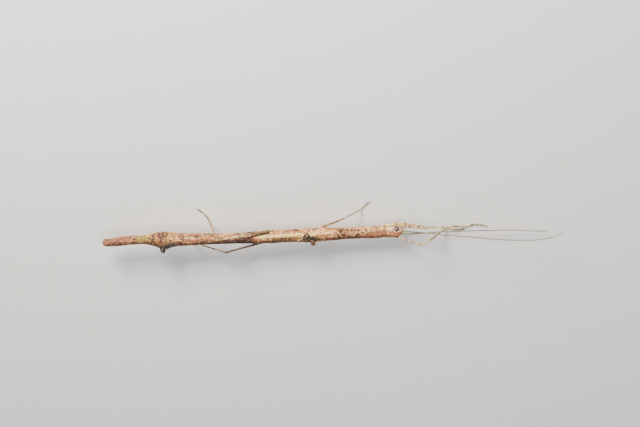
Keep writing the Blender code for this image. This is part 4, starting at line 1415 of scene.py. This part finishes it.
foot_start = ends_of("tibia_mid_right", box_middle("tarsus_mid_right"))[0]
foot_end = ends_of("tarsus_mid_right", foot_start)[1]
foot_way = (foot_end - foot_start).normalized()
step = (foot_end - foot_start).length / SMALL_JOINTS
small_foot = [bead(foot_start + foot_way * step * (joint + JOINT_SHIFT), foot_way, JOINT_OVERLAP * step,
                   SMALL_WIDTH) for joint in range(SMALL_JOINTS)]
dress(mesh_piece("regrown_foot", small_foot, foot_finish), "foot_cuticle", "tarsus_mid_right")
print("small foot in mm:", round(step * SMALL_JOINTS, 2))

# %% [markdown]
# ## Eyes
# The compound eyes are small domes set deep in the head, made of hundreds of tiny lenses. They are
# purple-brown with a darker rim, and a paler spot at the middle of each dome is a painted highlight.
# Each is a piece of its own with a wet gloss, and the lenses are a bump of close-packed cells, because
# they are finer than a mesh needs to show.

# %% Make the eyes
EYE_FLATNESS = 0.8
EYE_SIDES = 48
EYE_RINGS = 34
EYE_ARC = (-1.0, 1.5)     # radians from the widest ring, first into the head and then outward
EYE_WAY = (0.12, 0.94, 0.30)      # where an eye looks: forward, outward and up
LENS_SIZE = 0.085         # mm

eye = Finish("eye_glass", 0.22)
centred = eye.mark("outward")
# painted highlight: a paler spot at the middle of each dome, then purple-brown and a dark rim
eye_colour = eye.mix(eye.ramp(centred, 0.97, 0.80), shade(126, 98, 106), shade(58, 30, 40))
eye_colour = eye.mix(eye.ramp(centred, 0.72, 0.5), eye_colour, shade(24, 12, 18))
clouded = eye.part(eye.ramp(eye.grain(0.35, 3.0), 0.45, 0.65), 0.4)
eye_colour = eye.mix(clouded, eye_colour, shade(70, 40, 46))
eye.shader.inputs["Coat Weight"].default_value = 0.4
eye.shader.inputs["Coat Roughness"].default_value = 0.12
eye_finish = eye.wear(eye_colour, eye.ramp(eye.cells(LENS_SIZE), 0.55, 0.1), 0.008)
for side, lean, middle in (("left", 1, eye_middles[0]), ("right", -1, eye_middles[1])):
    way = Vector((EYE_WAY[0], lean * EYE_WAY[1], EYE_WAY[2])).normalized()
    angles = np.linspace(*EYE_ARC, EYE_RINGS)
    path = np.array([middle + way * math.sin(angle) * eye_radius * EYE_FLATNESS for angle in angles])
    rings = tube_rings(path, eye_radius * np.cos(angles), flat=ALONG_BODY, sides=EYE_SIDES)
    height_share = np.concatenate([np.repeat(np.sin(angles), EYE_SIDES), [-1, 1]])
    piece = mesh_piece(f"eyeball_{side}", [rings], eye_finish, {"outward": height_share})
    dress(piece, "eye", f"eye_{side}")

# %% [markdown]
# ## Feelers
# A feeler starts with a flattened base joint and a round second one, then runs on as a thread of many
# short joints, each a little wider at its end. The thread follows a smooth curve through the rings of
# its solids and gets thinner towards its tip.

# %% Make the feelers
THREAD_HALF = (0.21, 0.13)      # half thickness of the thread at its start and at its tip, in mm
THREAD_JOINTS = 34
THREAD_GAP = 0.6                # mm between two rings of the thread's solids, at the least
SAME_RING = 0.5                 # mm, rings nearer than this are where two solids meet
TIP_CLOSING = (0.95, 0.85, 0.65, 0.3)

feeler = Finish("feeler_cuticle", 0.6)
thread_bands = feeler.ramp(feeler.grain(3.2, 2.0, (0.7, 3, 3)), 0.42, 0.58)
feeler_colour = feeler.mix(thread_bands, shade(132, 116, 74), shade(80, 64, 42))
dusted = feeler.part(feeler.ramp(feeler.grain(0.4), 0.5, 0.7), 0.4)
feeler_colour = feeler.mix(dusted, feeler_colour, shade(184, 172, 138))
feeler_finish = feeler.wear(feeler_colour, feeler.grain(0.12), 0.02)
for side, root in zip(("left", "right"), feeler_roots):
    base_end = middle_of(rings_of(corners(f"antenna_base_{side}"), RING_GAP, ALONG_BODY)[-1])
    way = (base_end - root).normalized()
    scape = fine_path([root - way * 0.7 - UP * 0.45, root, base_end], 0.07, 0.25)
    share = np.linspace(0, 1, len(scape))
    scape_half = 0.12 + 0.17 * np.sin(math.pi * np.clip(share * 1.25 - 0.3, 0, 1)) ** 0.6

    thread = [middle_of(ring) for part in (1, 2)
              for ring in rings_of(corners(f"antenna_{side}_{part}"), THREAD_GAP, ALONG_BODY)]
    thread = [place for place, following in zip(thread, thread[1:] + [None])
              if following is None or (following - place).length > SAME_RING]
    curve = smooth_curve(thread, 0.12)
    share = travelled(curve) / travelled(curve)[-1]
    half = THREAD_HALF[0] + (THREAD_HALF[1] - THREAD_HALF[0]) * share ** 0.7
    half *= 0.88 + 0.2 * (share ** 0.8 * THREAD_JOINTS % 1) ** 3
    half[-len(TIP_CLOSING):] *= TIP_CLOSING

    shells = [tube_rings(scape, scape_half, scape_half * 0.8, sides=18),
              bead(base_end + way * 0.22, way, 0.62, 0.50), tube_rings(curve, half, sides=12)]
    piece = mesh_piece(f"feeler_{side}", shells, feeler_finish)
    dress(piece, "antenna_cuticle", f"antenna_base_{side}", f"antenna_{side}_1", f"antenna_{side}_2")

# %% [markdown]
# ## Mouthparts
# A plant eater's mouth points down and forward. An upper lip covers two short dark jaws, and two pairs
# of small jointed palps hang behind them. They are beads and tapered tubes, placed from the solids.

# %% Make the lip and the jaws
JAW = ((-0.50, 0.66, 0.55), (-0.12, 0.58, -0.20), (0.02, 0.16, -0.56))     # mm from the mouth's middle

face_finish = leg_finish("face_cuticle", shade(210, 156, 118), shade(160, 104, 72), shade(110, 66, 44),
                         0.5, 0.9)
mouth_low, mouth_high = box_corners("mouth")
mouth_middle = (mouth_low + mouth_high) / 2
face = mouth_high.x - 0.30
lip_route = ((face - 0.75, mouth_high.z + 0.25), (face - 0.10, mouth_middle.z + 0.30),
             (face + 0.02, mouth_middle.z - 0.10), (face - 0.12, mouth_low.z + 0.18))
lip_path = fine_path([(x, mouth_middle.y, z) for x, z in lip_route], 0.05, 0.3)
share = np.linspace(0, 1, len(lip_path))
close = np.sqrt(np.clip(1 - share ** 6, 0.01, 1))
lip_width = (0.86 - 0.30 * share + 0.08 * np.sin(3 * math.pi * share)) * close
lip = tube_rings(lip_path, lip_width, (0.36 - 0.16 * share) * close, ALONG_BODY, 32)
dress(mesh_piece("upper_lip", [lip], face_finish), "head_cuticle", "mouth")

jaw_shells = []
for lean in (1, -1):
    jaw_path = fine_path([mouth_middle + Vector((x, lean * y, z)) for x, y, z in JAW], 0.05, 0.25)
    share = np.linspace(0, 1, len(jaw_path))
    jaw_width = 0.34 * np.sqrt(np.clip(1 - share ** 3, 0.04, 1))
    jaw_shells.append(tube_rings(jaw_path, jaw_width, 0.28 - 0.14 * share, ALONG_BODY, 16))
dress(mesh_piece("jaws", jaw_shells, claw_finish), "head_cuticle")

# %% [markdown]
# Each palp is a row of beads, one for each of its joints, and each bead runs a little into the next.

# %% Make the palps
PALP_OVERLAP = 0.14       # mm
palp_shells = []
for side, lean in (("left", 1), ("right", -1)):
    low, high = box_corners(f"palp_{side}")
    middle_y = (low.y + high.y) / 2
    outer_y = middle_y + lean * 0.05
    long_palp = ((low.x, middle_y - lean * 0.1, high.z), (low.x + 0.5, outer_y, low.z + 0.45),
                 (high.x - 0.55, outer_y, low.z + 0.28), (high.x - 0.05, middle_y, low.z + 0.24))
    short_palp = ((low.x + 0.3, middle_y - lean * 0.42, high.z),
                  (low.x + 0.7, middle_y - lean * 0.40, low.z + 0.5),
                  (low.x + 1.15, middle_y - lean * 0.38, low.z + 0.35))
    for route, half in ((long_palp, 0.17), (short_palp, 0.12)):
        for start, end in zip(map(Vector, route), map(Vector, route[1:])):
            way = (end - start).normalized()
            length = (end - start).length + PALP_OVERLAP
            flat = ALONG_BODY if abs(way.x) < 0.8 else UP
            palp_shells.append(bead((start + end) / 2, way, length, 2 * half, 14, flat))
dress(mesh_piece("palps", palp_shells, face_finish), "head_cuticle", "palp_left", "palp_right")

# %% [markdown]
# ## Under the tail
# A female has a long keeled plate under the last segments, which guides each egg as it drops, and two
# short leaf-shaped tails at the tip. Both are plates apart from the skin.

# %% Make the egg plate and the tails
PLATE_RINGS = 90
PLATE_DEPTH = 0.68        # mm, half of it is over the plate's middle line
PLATE_WIDTHS = ((0, 0.35), (0.12, 0.75), (0.4, 1), (0.75, 1), (1, 0.5))     # shares of length and width
KEEL_DEPTH = 0.06

tail_finish = leg_finish("tail_cuticle", shade(180, 112, 74), shade(128, 74, 46), UMBER, 0.6, 1.2)
plate_low, plate_high = box_corners("egg_plate")
plate_x = np.linspace(plate_low.x, plate_high.x, PLATE_RINGS)
plate_y = np.interp(plate_x - tail_x, all_places, centre_y)
belly = np.interp(plate_x - tail_x, all_places, centre_z - half_height)
plate_path = np.stack([plate_x, plate_y, belly + 0.15], 1)
share = np.linspace(0, 1, PLATE_RINGS)
swell = np.interp(share, *np.array(PLATE_WIDTHS).T) * np.sqrt(np.clip(1 - (1 - share) ** 12, 0.1, 1))
plate = tube_rings(plate_path, (plate_high.y - plate_low.y) / 2 * swell, PLATE_DEPTH * swell, sides=32)
in_middle = bell(plate[..., 1], plate_y[:, None], 0.12)
plate[..., 2] -= KEEL_DEPTH * in_middle * (plate[..., 2] < plate_path[:, None, 2])
dress(mesh_piece("egg_guide", [plate], tail_finish), "tail_cuticle", "egg_plate")

tail_shells = []
for side in ("left", "right"):
    low, high = box_corners(f"cercus_{side}")
    middle_y, middle_z = (low.y + high.y) / 2, (low.z + high.z) / 2
    blade_path = fine_path([(low.x, middle_y, middle_z + 0.1), (high.x + 0.3, middle_y, middle_z)], 0.05)
    share = np.linspace(0, 1, len(blade_path))
    leaf = 0.30 * np.sin(math.pi * np.clip(share * 0.9 + 0.06, 0, 1)) ** 0.6
    tail_shells.append(tube_rings(blade_path, leaf, leaf * 0.75, sides=16))
dress(mesh_piece("tails", tail_shells, tail_finish), "tail_cuticle", "cercus_left", "cercus_right")

# %% [markdown]
# ## Measuring and finishing
# The size of the dressed insect is put beside the size of its solids in one table, and the dressed
# size is printed. Then the frame takes over the pieces.

# %% Finish
low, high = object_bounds()
sizes = {"cad": [list(corner) for corner in cad_bounds], "visual": [list(low), list(high)]}
print("dressed size in mm:", [round(v / MM, 1) for v in high - low])
